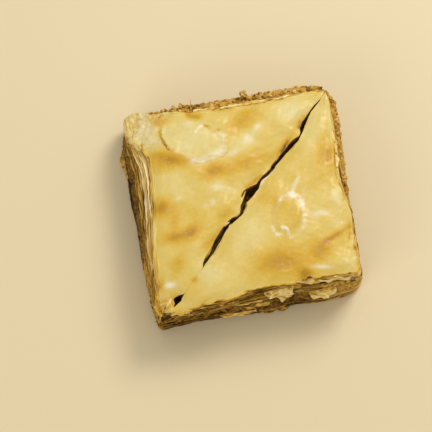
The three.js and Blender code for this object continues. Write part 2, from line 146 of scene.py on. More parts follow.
# The eight thick sheets under the top one, lowest first. At each share of the way along a side: how
# far each has stepped in (0 at the base, 1 at the top sheet), and its tone (0 dark, 1 dry and pale).
# On the front the low tones are syrup together with painted shade of that side, which faces away from
# the key light.
SHEET_EDGES = {
    "back": [
        (0.00, BACK_RIGHT_STEPS, (.3, .4, .3, .5, .4, .5, .5, .4)),
        (0.15, (.50, .60, .70, .78, .84, .89, .94, .98), (.3, .3, .4, .4, .4, .5, .6, .5)),
        (0.22, (.50, .58, .66, .72, .78, .84, .90, .97), (.3, .4, .4, .5, .5, .25, .95, .3)),
        (0.30, (.50, .58, .66, .72, .78, .84, .90, .97), (.3, .4, .4, .5, .5, .9, .3, .6)),
        (0.36, (.45, .50, .55, .60, .65, .74, .86, .95), (.3, .4, .5, .4, .95, .5, 1., .6)),
        (0.50, (.45, .50, .55, .60, .66, .78, .86, .95), (.3, .4, .4, .5, .9, .45, 1., .5)),
        (0.56, (.50, .60, .70, .78, .84, .90, .94, .98), (.3, .3, .4, .4, .5, .5, .8, .5)),
        (0.80, (.55, .65, .74, .80, .86, .91, .95, .98), (.2, .15, .3, .2, .3, .4, .6, .5)),
        (1.00, LEFT_STEPS, (.5, .5, .6, .6, .7, .7, .8, .7))],
    "left": [
        (0.00, LEFT_STEPS, (.5, .5, .6, .6, .7, .7, .8, .7)),
        (0.10, (.32, .38, .45, .52, .58, .70, .80, .92), (.6, .45, .6, .5, .65, .6, .75, .7)),
        (0.16, (.28, .33, .42, .47, .52, .68, .77, .92), (.45, .25, .6, .45, .7, .5, .75, .6)),
        (0.33, (.30, .405, .45, .535, .62, .73, .815, .93), (.5, .2, .75, .4, .95, .65, 1., .6)),
        (0.50, (.33, .40, .47, .54, .63, .76, .86, .95), (.6, .2, .4, .45, .95, .6, 1., .6)),
        (0.63, (.34, .38, .42, .48, .55, .70, .86, .96), (.4, .25, .45, .65, .85, .5, .95, .6)),
        (0.79, (.34, .42, .48, .55, .60, .68, .86, .95), (.4, .35, .45, .45, .6, .65, .95, .65)),
        (0.90, (.34, .42, .50, .58, .66, .74, .84, .93), (.4, .3, .3, .45, .4, .55, .7, .6)),
        (1.00, LEFT_STEPS, (.2, .15, .2, .15, .3, .2, .4, .3))],
    "front": [
        (0.000, LEFT_STEPS, (.2, .15, .2, .15, .3, .2, .4, .3)),
        (0.200, FRONT_STEPS, (.12, .05, .12, .08, .15, .08, .12, .3)),
        (0.375, FRONT_STEPS, (.3, .15, .1, .05, .15, .08, .1, .35)),
        (0.475, FRONT_STEPS, (.2, .15, .35, .5, .1, .08, .1, .35)),
        (0.575, FRONT_STEPS, (.12, .1, .55, .7, .6, .2, .25, .4)),
        (0.700, FRONT_STEPS, (.1, .05, .08, .1, .1, .5, .6, .4)),
        (0.800, FRONT_STEPS, (.5, .45, .5, .1, .08, .6, .7, .4)),
        (0.925, FRONT_STEPS, (.45, .3, .08, .05, .5, .7, .75, .5)),
        (1.000, FRONT_RIGHT_STEPS, (.4, .3, .2, .15, .5, .7, .7, .5))],
    "right": [
        (0.00, FRONT_RIGHT_STEPS, (.4, .3, .2, .15, .5, .7, .7, .5)),
        (0.12, (.34, .42, .50, .58, .66, .76, .86, .95), (.2, .5, .2, .7, .25, .75, .2, .7)),
        (0.22, (.38, .46, .54, .62, .70, .78, .87, .95), (.2, .5, .2, .7, .25, .8, .2, .7)),
        (0.33, (.60, .68, .74, .80, .86, .90, .94, .97), (.3, .5, .3, .6, .3, .6, .5, .6)),
        (0.45, (.60, .68, .76, .82, .87, .91, .95, .98), (.15, .3, .15, .4, .5, .4, .6, .5)),
        (0.58, (.50, .54, .60, .66, .71, .78, .84, .93), (.1, .3, .1, .5, .9, .3, .85, .7)),
        (0.70, (.54, .60, .66, .70, .75, .80, .86, .94), (.3, .2, .4, .3, .6, .4, .9, .75)),
        (0.78, (.56, .62, .68, .74, .80, .85, .90, .96), (.3, .2, .4, .3, .5, .4, .5, .5)),
        (0.86, (.56, .62, .68, .74, .80, .85, .90, .96), (.3, .2, .4, .3, .5, .4, .6, .5)),
        (1.00, BACK_RIGHT_STEPS, (.3, .4, .3, .5, .4, .5, .5, .4))],
}
# Tones of the eight sheets on the walls of the cut, low as painted shade inside the narrow cut.
CUT_TONES = {"back": (.05, .08, .1, .1, .12, .1, .15, .2), "front": (.05, .1, .1, .2, .15, .3, .2, .35)}
# Where sheets stand out into the cut: half, sheet, from and to along the cut, how far.
CUT_JUTS = [
    ("front", 7, 0.46, 0.56, 0.22), ("front", 6, 0.44, 0.53, 0.45), ("front", 5, 0.47, 0.55, 0.7),
    ("front", 7, 0.61, 0.76, 0.3), ("front", 6, 0.64, 0.74, 0.5), ("front", 5, 0.67, 0.73, 0.75),
    ("front", 7, 0.19, 0.30, 0.2), ("front", 6, 0.21, 0.27, 0.4), ("back", 7, 0.30, 0.37, 0.2),
    ("back", 7, 0.53, 0.58, 0.3), ("back", 6, 0.71, 0.76, 0.3), ("front", 7, 0.34, 0.43, 0.15),
]
# How dark the filling and the lower sheets are, along each side: syrup, and painted shade on the left
# and front, which face away from the light.
SYRUP_AND_SHADE = {
    "back": [(0, .1), (1, .25)],
    "left": [(0, .9), (.15, 1.15), (.35, 1.3), (.6, 1.2), (.72, .8), (.85, .55), (1, .85)],
    "front": [(0, 1.15), (.6, 1.15), (.74, .95), (.83, .4), (1, .05)],
    "right": [(0, .05), (.3, .25), (1, .05)],
}

# How torn and how brown the rim of the top sheet is, along each side.
RIM_TORN = {
    "back": [(0, 1), (1, .8)], "left": [(0, .6), (.6, .9), (1, 1.7)],
    "front": [(0, 1.3), (.3, 1.9), (.8, 1.7), (1, 1.2)], "right": [(0, 1.6), (.2, 1), (1, .7)],
}
# On the back from .8 to .92 of the way the rim is darkest: baked brown with a painted shadow line where
# the nuts meet the top.
RIM_BROWN = {
    "back": [(0, .4), (.5, .35), (.72, .4), (.8, 1.1), (.92, 1.1), (1, .3)],
    "left": [(0, .3), (.3, .8), (1, .8)],
    "front": [(0, .5), (.3, .8), (1, .8)], "right": [(0, .7), (.3, .5), (.5, .25), (1, .15)],
}
# How strongly the margin of the top is lined, along each side.
RIM_LINED = {
    "back": [(0, .4), (.5, .7), (1, .3)], "left": [(0, .4), (.3, 1), (.8, 1), (1, .5)],
    "front": [(0, .2), (.8, .4), (1, .6)], "right": [(0, .8), (.3, .3), (.45, .9), (.7, 1), (1, .3)],
}
# How browned the rim is along the cut, and how white from dry filo and painted highlight.
LIP_BROWN = {"back": 0.45, "front": 0.1}
LIP_WHITE = {"back": 0.15, "front": 0.7}

# How strongly all the baked patches count, and how much the floor of the blister is baked.
BAKED = 1.12
BLISTER_BAKED = 0.16
# Patches of the top, each: middle, half-lengths, turn in degrees, strength.
BAKED_PATCHES = [
    ((-27.7, -2.0), (3.4, 3.0), -9, 0.80),
    ((-25.5, -13.1), (4.4, 2.1), 1, 0.80),
    ((-19.5, -11.9), (3.2, 2.4), 52, 0.70),
    ((-24.7, -7.5), (3.2, 1.7), 72, 0.50),
    ((-25.5, -22.0), (3.5, 2.0), 62, 0.50),
    ((-32.8, -27.9), (2.1, 1.3), 82, 0.60),
    ((5.0, 25.7), (4.6, 3.2), 28, 0.70),
    ((-0.1, 22.7), (2.5, 1.8), 33, 0.40),
    ((-9.4, 8.2), (4.2, 2.5), 12, 0.75),
    ((3.4, 9.5), (8.1, 2.5), 14, 0.65),
    # The next patch, below the edge of the loose flake, is amber together with painted shade of that
    # edge.
    ((-23.5, 14.9), (6.0, 2.2), -10, 0.72),
    ((16.7, 13.3), (4.7, 1.1), 47, 0.70),
    ((24.2, 21.5), (3.0, 1.1), 52, 0.50),
    ((30.6, 8.4), (5.6, 3.5), 80, 0.70),
    ((9.4, -27.2), (8.1, 4.5), -4, 0.80),
    ((16.3, -32.8), (2.4, 2.1), -9, 0.80),
    ((23.2, -25.1), (3.8, 3.1), 11, 0.65),
    ((28.5, -20.6), (4.5, 1.1), 23, 0.55),
    ((13.7, -10.0), (4.5, 4.6), -9, 0.12),
    ((9.0, -4.9), (2.2, 4.1), 71, 0.35),
    ((-14.8, -17.0), (2.4, 1.4), 52, 0.50),
    ((-21.2, -28.5), (1.2, 1.0), -9, 0.45),
    ((-7.4, -7.7), (3.5, 1.7), 42, 0.35),
    ((-24.8, 29.8), (2.2, 1.8), 0, 0.62),
    ((-12.6, 30.6), (2.6, 1.2), -20, 0.28),
    ((-27.2, 17.2), (3.2, 1.5), -6, 0.40),
    ((-23.8, 12.4), (4.4, 1.9), -6, 0.32),
]
# Pale patches, the same columns: dry filo, and at the small bright spots painted highlights.
PALE_PATCHES = [
    ((22.1, 25.6), (6.1, 4.0), 22, 0.70),
    ((7.3, 20.1), (5.4, 1.8), 30, 0.60),
    ((2.8, 16.7), (3.6, 1.8), 30, 0.45),
    ((-32.1, 25.6), (5.9, 4.9), 72, 0.75),
    ((-15.8, 21.1), (13.9, 7.0), -1, 0.45),
    ((-14.8, -27.9), (5.2, 4.4), 42, 0.50),
    ((28.5, 17.8), (8.9, 3.1), 70, 0.60),
    ((-0.2, -16.4), (7.7, 4.8), 52, 0.40),
    ((24.8, -12.5), (3.1, 1.1), 1, 0.70),
    ((22.1, -31.0), (3.0, 0.8), -9, 0.80),
    ((30.0, -16.2), (3.2, 2.0), 51, 0.40),
    ((31.8, -30.7), (2.8, 2.4), 60, 0.50),
    ((-8.3, 2.2), (2.1, 1.1), -9, 0.80),
    ((-22.5, 0.4), (1.4, 1.1), -9, 0.50),
    ((-10.8, -2.9), (1.0, 1.1), -9, 0.60),
    ((-13.4, -3.6), (1.0, 0.8), -9, 0.40),
    ((-29.6, -28.7), (1.7, 0.8), -4, 1.20),
    ((-25.1, 8.5), (4.8, 1.8), -9, 0.35),
    ((-24.1, 3.6), (6.9, 2.2), -9, 0.35),
    ((-4.3, 0.7), (1.6, 1.0), 20, 0.35),
    ((4.8, 17.7), (1.6, 1.9), 10, 0.70),
    ((8.7, 22.0), (1.4, 1.0), 40, 0.70),
    ((-0.8, 13.8), (2.6, 1.1), 15, 0.50),
    ((31.2, -7.8), (1.6, 2.6), 30, 0.40),
    ((34.4, 16.0), (1.0, 8.0), 0, 0.80),
]
# Whitish ridges of the top, their whiteness a painted highlight: stops of the line, half-width, height,
# whiteness.
WHITE_RIDGES = [
    ([(11.8, -6.3), (12.9, -5.1), (14.4, -4.5), (16.1, -4.6), (17.4, -5.5)], 0.9, 0.12, 0.9),
    ([(15.2, -4.2), (16.8, -4.6), (18.2, -6.2), (19.2, -8.4)], 1.1, 0.14, 0.9),
    ([(19.3, -9.9), (19.8, -11.1), (19.5, -12.4)], 0.9, 0.14, 0.95),
    ([(18.9, -14.6), (18.6, -15.8), (17.6, -17.3)], 0.8, 0.1, 0.75),
    ([(7.9, -14.4), (8.0, -15.9), (8.6, -17.2), (9.4, -17.8), (10.3, -18.1)], 0.5, 0.12, 0.9),
    ([(10.9, -15.5), (12.2, -16.2), (12.8, -17.4), (12.9, -19.0)], 0.5, 0.14, 1.3),
    ([(13.2, -18.6), (13.9, -19.3)], 0.5, 0.05, 0.6),
    ([(11.6, -6.6), (10.2, -8.8), (9.2, -11.2), (8.4, -14.0)], 0.6, 0.06, 0.15),
    ([(16.2, -3.8), (17.2, -2.0), (18.6, 0.0), (19.6, 1.6)], 0.9, 0.1, 0.6),
    ([(19.2, -5.6), (20.4, -4.2), (21.1, -2.8)], 0.9, 0.05, 0.25),
    ([(12.6, -14.0), (13.4, -13.4), (13.9, -12.8)], 0.35, 0.05, 0.35),
    ([(-13.2, 23.2), (-12.0, 24.2), (-10.4, 25.3)], 0.6, 0.2, 0.9),
    ([(-9.3, 22.2), (-8.0, 21.6), (-7.0, 21.2)], 0.8, 0.12, 0.5),
    ([(-5.2, 22.0), (-4.0, 20.2), (-3.8, 18.4)], 0.7, 0.15, 0.7),
    ([(-4.4, 16.6), (-4.8, 15.0), (-6.4, 14.2)], 1.3, 0.08, 0.8),
    ([(-8.0, 13.6), (-10.4, 12.8), (-13.2, 12.6), (-15.4, 12.9)], 1.3, 0.05, 0.85),
    ([(3.6, -2.8), (4.7, -1.1), (6.0, 0.5), (7.7, 2.4), (9.4, 4.0)], 0.4, 0.05, 0.7),
    ([(-21.0, 16.8), (-19.0, 15.8), (-17.6, 15.0)], 0.6, 0.1, 0.3),
]
# Dark creases of the top: stops of the line, half-width, height, how much darker. Their darkening is
# browned filo together with painted shade in the groove.
DARK_CREASES = [
    ([(-10.0, 24.9), (-8.6, 24.6), (-7.8, 23.1), (-6.5, 22.4), (-5.0, 22.7)], 0.5, -0.35, 1.0),
    ([(34.1, -17.1), (33.8, -19.6)], 0.3, -0.1, 0.3), ([(33.6, -20.8), (33.2, -22.8)], 0.4, -0.2, 0.6),
    ([(34.5, -25.4), (34.2, -26.6)], 0.4, -0.3, 0.9),
    ([(-0.6, -2.0), (0.0, -0.9), (0.6, -0.2), (1.5, 0.2)], 0.2, -0.7, 2.2),
    ([(1.4, 0.8), (3.5, 1.9), (5.9, 3.5), (7.4, 4.4)], 0.8, -0.1, 0.7),
    ([(15.8, 12.0), (16.9, 13.5), (18.4, 15.1)], 0.6, -0.05, 0.6),
    ([(22.9, 19.5), (23.8, 21.6)], 0.6, -0.05, 0.6),
    ([(-12.9, -15.6), (-11.2, -13.8), (-9.1, -11.6)], 0.8, -0.05, 0.5),
    ([(-5.0, -35.2), (-2.3, -35.2), (0.8, -35.5)], 0.3, -0.3, 1.2),
    ([(33.9, -18.4), (31.5, -20.0), (28.5, -21.4), (25.0, -22.6)], 1.0, -0.12, 0.3),
    ([(-14.6, 31.0), (-13.6, 29.6), (-11.2, 28.8)], 1.1, -0.1, 0.7),
    ([(-32.3, 22.6), (-32.0, 21.0), (-31.9, 19.4)], 0.45, -0.35, 1.3),
    ([(-35.6, 32.2), (-35.2, 29.9), (-35.7, 27.7), (-36.6, 25.9)], 0.25, -0.15, 0.7),
    ([(-34.3, 31.7), (-34.3, 29.0), (-35.2, 26.1)], 0.25, -0.15, 0.7),
    ([(-25.3, 26.2), (-25.1, 24.2), (-24.9, 22.4), (-24.2, 20.2), (-23.2, 18.3)], 0.55, -0.2, 0.85),
    ([(-24.0, 20.3), (-23.1, 19.0), (-22.2, 17.8), (-21.4, 17.2)], 0.5, -0.15, 0.5),
]
# Whitish dabs, of dry filo and painted highlight, and at the crushed corner painted light over its
# shade: middle, half-lengths, turn in degrees, strength.
WHITE_DABS = [
    ((4.8, 17.7), (1.0, 1.5), 10, 0.55), ((8.7, 22.0), (1.3, 0.7), 40, 0.55),
    ((-0.8, 13.8), (2.2, 0.8), 15, 0.40), ((22.0, 25.5), (2.2, 0.9), 50, 0.40),
    ((20.8, 28.4), (1.6, 0.8), 20, 0.40), ((-4.3, 0.7), (1.4, 0.8), 20, 0.25),
    ((-8.3, 2.1), (1.7, 0.8), -9, 0.60), ((-10.8, -2.9), (0.8, 0.9), -9, 0.50),
    ((-13.4, -3.6), (0.8, 0.6), -9, 0.35), ((-22.5, 0.3), (1.2, 0.8), -9, 0.40),
    ((-29.6, -28.8), (1.5, 0.8), -4, 1.30), ((25.0, -12.5), (2.7, 0.9), 2, 0.70),
    ((22.1, -31.0), (2.8, 0.6), -9, 0.75), ((31.2, -7.8), (1.2, 2.2), 30, 0.35),
    ((-15.3, 26.9), (1.6, 0.6), 10, 0.50), ((-17.0, 17.8), (1.4, 0.7), 0, 0.40),
    ((-30.4, 32.4), (1.3, 2.2), 0, 0.45), ((-28.4, 27.6), (1.3, 2.2), 20, 0.40),
    ((11.3, -15.9), (0.6, 0.5), 0, 0.80), ((9.3, -17.9), (0.9, 0.5), 0, 0.80),
    ((-27.4, 22.8), (1.2, 1.9), 60, 0.50), ((-31.0, 29.0), (5.5, 5.0), 40, 0.32),
    ((-14.8, -27.9), (2.6, 2.2), 40, 0.15), ((1.0, -20.0), (2.6, 1.4), 52, 0.12),
]
# The loosened flake on the top: its rim, and how far each part of the rim has lifted.
FLAKE_MIDDLE = (-14.0, 20.0)
FLAKE_THICK = 0.1
FLAKE_RIM = [
    (-24.8, 26.9, .1), (-24.9, 25.1, .2), (-24.7, 22.8, .3), (-24.0, 20.4, .3), (-23.2, 18.6, .25),
    (-22.0, 17.5, .1), (-20.1, 16.1, 0), (-18.2, 14.7, 0), (-16.3, 13.1, .05), (-14.5, 11.9, .1),
    (-12.0, 11.7, .1), (-9.4, 12.7, .05), (-6.9, 12.7, .0), (-4.5, 12.7, .1), (-3.3, 14.6, .2),
    (-3.3, 16.8, .15), (-4.0, 18.8, .2), (-4.1, 20.6, .2), (-5.4, 22.7, .1), (-7.3, 23.9, .05),
    (-8.8, 25.3, 0), (-10.7, 26.7, 0), (-13.1, 27.7, 0), (-15.7, 28.7, 0), (-20.0, 28.6, 0),
]

# Amount and size of the wander of a torn edge, and of the waviness of a sheet's edge.
EDGE_WANDER = [(0.5, 11), (0.25, 3.5), (0.14, 1.2)]
EDGE_WAVE = [(0.7, 9), (0.4, 3)]
EDGE_CHIPS = {"size": 4.5, "over": 1.15, "depth": 0.9}

# The crumpled sheets over two corners. Each stop of a drape: place on the outline, how far it hangs
# down, how far out it stands, share of the way inwards that it starts.
DRAPES = [
    ("back", {"seed": 801, "crumple": 0.45, "pale": 0.55, "bake": 0.05, "stops": [
        (108, 0.2, 0.0, 0.005), (118, 1.2, 0.2, 0.03), (128, 4.2, 0.6, 0.06), (138, 6.4, 0.9, 0.09),
        (148, 7.4, 1.1, 0.11), (153, 7.0, 0.8, 0.11), (160, 5.6, 0.2, 0.10), (168, 4.2, 0.0, 0.09),
        (176, 2.0, 0.0, 0.07), (184, 0.8, 0.0, 0.04), (190, 0.2, 0.0, 0.005)]}),
    ("back", {"seed": 861, "crumple": 0.5, "pale": 0.5, "bake": 0.0, "columns": 120,
     "rows": 44, "stops": [
        (122, 0.2, 0.1, 0.005), (130, 1.8, 0.6, 0.03), (138, 3.0, 1.0, 0.06),
        (147, 4.6, 1.2, 0.085), (152, 4.0, 1.0, 0.085), (158, 3.2, 0.4, 0.07),
        (166, 2.4, 0.1, 0.05), (174, 1.0, 0.0, 0.03), (180, 0.2, 0.0, 0.005)]}),
    ("back", {"seed": 821, "crumple": 0.6, "pale": 0.1, "bake": 0.45, "columns": 50, "stops": [
        (285, 0.3, 0.0, 0.004), (290, 2.2, 0.3, 0.02), (296, 3.6, 0.5, 0.035), (300, 4.2, 0.4, 0.03)]}),
    ("front", {"seed": 841, "crumple": 0.5, "pale": 0.1, "bake": 0.35, "columns": 50, "stops": [
        (11, 0.3, 0.3, 0.02), (13, 1.2, 0.35, 0.02), (17, 1.1, 0.3, 0.02), (22, 0.2, 0.0, 0.003)]}),
]

# Points of the outline of a half: on the cut, on one outer side, on both.
POINTS_ON_CUT = 230
POINTS_ON_SIDE = 150
OUTER_POINTS = 2 * POINTS_ON_SIDE

# Seeds of the random numbers. The first row is added to the seed of a half.
HALF_SEEDS = {"back": 100, "front": 200}
SEEDS = {"lower_sheets": 400, "nut_core": 600, "chopped_nuts": 700, "top_sheet": 900,
         "side_flakes": 500, "scraps": 900, "stray_nuts": 1200, "nut_heaps": 1400,
         "puckers": 41, "folds": 43, "broken_white": 51, "mottle": 52, "top_flake": 61}


# ------------------------------------------------------------------ numbers and noise

def smooth(value, low, high):
    """0 below low, 1 above high, and an S-curve between."""
    share = np.clip((value - low) / (high - low), 0, 1)
    return share * share * (3 - 2 * share)


def uneven_wave(turns, strand):
    """Three sines of unlike pitch added up, as in the model's own relief."""
    angle = 2 * np.pi * turns
    return (0.5 * np.sin(angle + 2.4 * strand) + 0.3 * np.sin(2.3 * angle + 5.1 * strand)
            + 0.2 * np.sin(4.7 * angle + 1.7 * strand))


def crossing_waves(x, y, size, seed, count=14):
    """Plane waves about size long in many directions, added up to a height of about 1."""
    rng = np.random.default_rng(seed)
    heading = rng.uniform(0, 2 * np.pi, count)
    pitch = 2 * np.pi / (size * rng.uniform(0.65, 1.5, count))
    start = rng.uniform(0, 2 * np.pi, count)
    total = np.zeros(np.broadcast(x, y).shape)
    for turn, rate, phase in zip(heading, pitch, start):
        total += np.sin(rate * (x * np.cos(turn) + y * np.sin(turn)) + phase)
    return total * math.sqrt(2 / count)


def waves_along(run, size, seed):
    """The same waves on a line: run is the length along it."""
    return crossing_waves(run, 0.0, size, seed)


def round_noise(share, knots, seed):
    """Random values at knots round a closed line, eased from one to the next; share is 0 to 1."""
    values = np.random.default_rng(seed).normal(size=knots)
    place = share * knots
    before = np.floor(place).astype(int)
    step = smooth(place - before, 0, 1)
    return values[before % knots] * (1 - step) + values[(before + 1) % knots] * step


def rim_noise(half, size, seed):
    """Uneven values about size apart along the outline of a half."""
    return round_noise(half["run"] / half["round"], max(4, round(half["round"] / size)), seed)


def rim_waves(half, table, seed):
    """Rim noise of several (amount, size) added up; each has the next seed."""
    return sum(amount * rim_noise(half, size, seed + k) for k, (amount, size) in enumerate(table))


def in_ellipse(x, y, at, length, width, turn):
    """Distance from the middle of a turned ellipse, 1 on its rim."""
    angle = math.radians(turn)
    dx, dy = x - at[0], y - at[1]
    along = (dx * math.cos(angle) + dy * math.sin(angle)) / length
    across = (dy * math.cos(angle) - dx * math.sin(angle)) / width
    return np.hypot(along, across)


def patch(x, y, at, size, turn):
    """1 in the middle of a turned ellipse, falling off like a bell past its rim."""
    return np.exp(-0.8 * in_ellipse(x, y, at, size[0], size[1], turn) ** 2)


def near_line(x, y, stops, width):
    """1 on a smooth line through the stops, falling off like a bell to either side."""
    curve = np.vstack([spaced_spline(stops, 10), stops[-1:]])
    low, high = curve.min(0) - 3 * width, curve.max(0) + 3 * width
    close = (x > low[0]) & (x < high[0]) & (y > low[1]) & (y < high[1])
    px, py = x[close], y[close]
    nearest = np.full(px.shape, np.inf)
    for (x0, y0), (x1, y1) in zip(curve, curve[1:]):
        dx, dy = x1 - x0, y1 - y0
        share = np.clip(((px - x0) * dx + (py - y0) * dy) / (dx * dx + dy * dy), 0, 1)
        nearest = np.minimum(nearest, np.hypot(px - x0 - share * dx, py - y0 - share * dy))
    height = np.zeros(np.shape(x))
    height[close] = np.exp(-(nearest / width) ** 2)
    return height


# ------------------------------------------------------------------ heights over the plan

def bump(x, y, at, length, width, turn, height, hollow):
    """A round swelling with a slightly hollow middle, as in the model."""
    radius = in_ellipse(x, y, at, length, width, turn)
    return height * (1 - smooth(radius, 0.62, 1.15)) * (1 - hollow * (1 - smooth(radius, 0.1, 0.62)))


def settled(x, y):
    """Share of its height that the stack keeps: the crushed corner and one tip are lower."""
    kept = 1.0
    for dip in (CRUSHED_CORNER, LOW_TIP):
        apart = np.hypot(x - dip["at"][0], y - dip["at"][1]) / dip["reach"]
        kept = kept - dip["depth"] * np.exp(-apart ** 2)
    return kept


def crumpled(x, y):
    """1 at the crushed corner, easing to 0 with the distance from it."""
    at = CRUSHED_CORNER["at"]
    return 1 - smooth(np.hypot(x - at[0], y - at[1]), *CRUMPLE_REACH)


def top_relief(x, y):
    """Slow waves, wrinkles by the crushed corner, the blister and the loose flake."""
    waves = 0.42 * uneven_wave(x / 47 + y / 80, 1) + 0.34 * uneven_wave(y / 39 - x / 90, 2)
    wrinkles = 0.7 * crumpled(x, y) * uneven_wave(x / 15 - y / 21, 3)
    return waves + wrinkles + bump(x, y, **BLISTER) + bump(x, y, **LOOSE_FLAKE)


def fine_relief(x, y):
    """Shallow puckers all over, sharp folds by the crushed corner, the white ridges, the creases.

    A fold is a half less the size of a wave, so that it has a sharp valley; the large ones are
    slanted.
    """
    puckers = sum(height * crossing_waves(x, y, size, SEEDS["puckers"] + k)
                  for k, (height, size) in enumerate(PUCKERS))
    (large, large_size), (small, small_size) = FOLDS
    slanted = crossing_waves(x + 0.5 * y, y - 0.4 * x, large_size, SEEDS["folds"])
    folds = large * (0.5 - np.abs(slanted))
    folds += small * (0.5 - np.abs(crossing_waves(x, y, small_size, SEEDS["folds"] + 1)))
    lines = sum(height * near_line(x, y, stops, width)
                for stops, width, height, _ in WHITE_RIDGES + DARK_CREASES)
    return puckers + folds * crumpled(x, y) ** 1.5 + lines


def edge_distance(half, x, y, every=2, block=4000):
    """How far inside the top outline a place is (0 outside), and its nearest point of the outline.

    It looks at every second point of the outline, for one block of places at a time.
    """
    rim, out = half["top"][::every], half["out"][::every]
    flat = np.stack([np.ravel(x), np.ravel(y)], 1)
    apart, place = np.empty(len(flat)), np.empty(len(flat), int)
    for start in range(0, len(flat), block):
        part = slice(start, start + block)
        squares = ((flat[part, None] - rim[None]) ** 2).sum(-1)
        nearest = squares.argmin(1)
        outside = ((flat[part] - rim[nearest]) * out[nearest]).sum(1) > 0
        place[part] = nearest
        apart[part] = np.where(outside, 0, np.sqrt(squares.min(1)))
    return apart.reshape(np.shape(x)), every * place.reshape(np.shape(x))


def top_height(half, x, y, fine=True):
    """Height of the top sheet: the settled stack, a crown, a drop along the rim, and relief.

    Where the cut has stayed closed, its lips keep level instead of dropping.
    """
    apart, place = edge_distance(half, x, y)
    crown = CROWN["height"] * (1 - (1 - np.minimum(apart / CROWN["reach"], 1)) ** 4)
    drop = RIM_DROP["depth"] * half["open"][place] * (1 - smooth(apart, 0, RIM_DROP["reach"]))
    relief = top_relief(x, y) + (fine_relief(x, y) if fine else 0)
    return UPPER_FILO_TOP * settled(x, y) + 2 * LAYER_GAP + crown - drop + relief


# ------------------------------------------------------------------ outlines of the two halves

cut_from = np.array(CORNERS["backRight"]["top"])
cut_run = np.array(CORNERS["frontLeft"]["top"]) - cut_from
cut_across = np.array([-cut_run[1], cut_run[0]]) / np.hypot(*cut_run)


def lip(name, along):
    """How far across the diagonal a lip of the cut is."""
    return np.interp(along, *np.array(CUT_LIPS[name]).T)


def cut_wall(level, along, name):
    """Points on one wall of the cut: the diagonal of a level, moved across to the lip.

    At the base both walls run under the middle between the lips.
    """
    side = -1 if name == "back" else 1
    start, end = (np.array(CORNERS[corner][level]) for corner in ("backRight", "frontLeft"))
    points = start + np.multiply.outer(along, end - start)
    share = np.clip((points - cut_from) @ cut_run / (cut_run @ cut_run), 0, 1)
    shift = lip(name, share)
    if level == "base":
        shift = (lip("back", share) + lip("front", share)) / 2 + side * CUT_WIDTH_BASE / 2
    return points + np.multiply.outer(shift, cut_across)


def even_wall(along, name):
    """The wall of the cut as an even bow: the diagonal moved across by a half sine.

    On the front half it stays clear of the notch near the front-left corner.
    """
    side = -1 if name == "back" else 1
    shift = EVEN_BOW["drift"] * np.sin(np.pi * along) + side * EVEN_BOW["half_width"]
    if name == "front":
        shift = shift + EVEN_BOW["notch"] * smooth(along, *EVEN_BOW["notch_at"])
    return cut_from + np.multiply.outer(along, cut_run) + np.multiply.outer(shift, cut_across)


def spaced_spline(stops, count):
    """A smooth curve through the stops (Catmull-Rom), cut into count steps of even length."""
    stops = np.array(stops, float)
    padded = np.vstack([stops[0], stops, stops[-1]])
    steps = np.linspace(0, 1, 60, endpoint=False)[:, None]
    pieces = []
    for k in range(len(stops) - 1):
        a, b, c, d = padded[k:k + 4]
        start, end = 0.5 * (c - a), 0.5 * (d - b)
        pieces.append((2 * b - 2 * c + start + end) * steps ** 3
                      + (3 * c - 3 * b - 2 * start - end) * steps ** 2 + start * steps + b)
    dense = np.vstack(pieces + [stops[-1:]])
    length = np.concatenate([[0], np.cumsum(np.hypot(*np.diff(dense, axis=0).T))])
    places = np.linspace(0, length[-1], count + 1)[:-1]
    return np.stack([np.interp(places, length, dense[:, axis]) for axis in (0, 1)], axis=1)


def soften_corners(points):
    """Rounds the three corners: the points close to each are averaged with their neighbours."""
    index = np.arange(len(points))
    near = np.full(len(points), np.inf)
    for corner in (0, POINTS_ON_SIDE, OUTER_POINTS):
        apart = np.abs(index - corner)
        near = np.minimum(near, np.minimum(apart, len(points) - apart))
    weight = (1 - smooth(near, 2, 6))[:, None]
    for _ in range(14):
        average = 0.5 * points + 0.25 * (np.roll(points, 1, 0) + np.roll(points, -1, 0))
        points = points * (1 - weight) + average * weight
    return points


def eased(values, reach=7):
    """A closed row of values averaged over reach neighbours on each side."""
    padded = np.concatenate([values[-reach:], values, values[:reach]])
    return np.convolve(padded, np.ones(2 * reach + 1) / (2 * reach + 1), "valid")


def along_sides(sides, table, on_cut):
    """A table of (share of the side, value) for each outer side, and on_cut along the cut."""
    share = np.arange(POINTS_ON_SIDE) / POINTS_ON_SIDE
    rows = [np.interp(share, *np.array(table[side], float).T) for side in sides]
    return np.concatenate(rows + [np.broadcast_to(on_cut, POINTS_ON_CUT)])


def half_levels(name, corners, sides, along):
    """The outline of a half at the base and at the top sheet, anticlockwise from its first corner."""
    levels = {}
    for level in ("base", "top"):
        tips = [cut_wall(level, np.array([0.0 if corner == "backRight" else 1.0]), name)[0]
                for corner in (corners[0], corners[2])]
        ends = [tips[0], CORNERS[corners[1]][level], tips[1]]
        outer = [spaced_spline([ends[k], *SIDES[sides[k]][level], ends[k + 1]], POINTS_ON_SIDE)
                 for k in (0, 1)]
        levels[level] = soften_corners(np.vstack([*outer, cut_wall(level, along, name)]))
    return levels["base"], levels["top"]


def bends_inset(half, outer):
    """How much sooner than usual the bends of the cut give way to the even bow, round the outline.

    It is where the lip stands inside the bow, and most of all near the tip.
    """
    inside = ((half["top"] - half["even"]) * half["out"]).sum(1) * (1 - outer)
    near_tip = np.zeros(len(outer))
    near_tip[OUTER_POINTS:] = smooth(half["along"], *BENDS_SOON["tip_at"])
    usual = BENDS_SOON["inset"] * smooth(inside, 0.3, 1.5) * (1 - near_tip)
    return eased(usual + (BENDS_SOON["inset"] + BENDS_SOON["near_tip"]) * near_tip
                 * smooth(inside, 0.05, 0.5), 3)


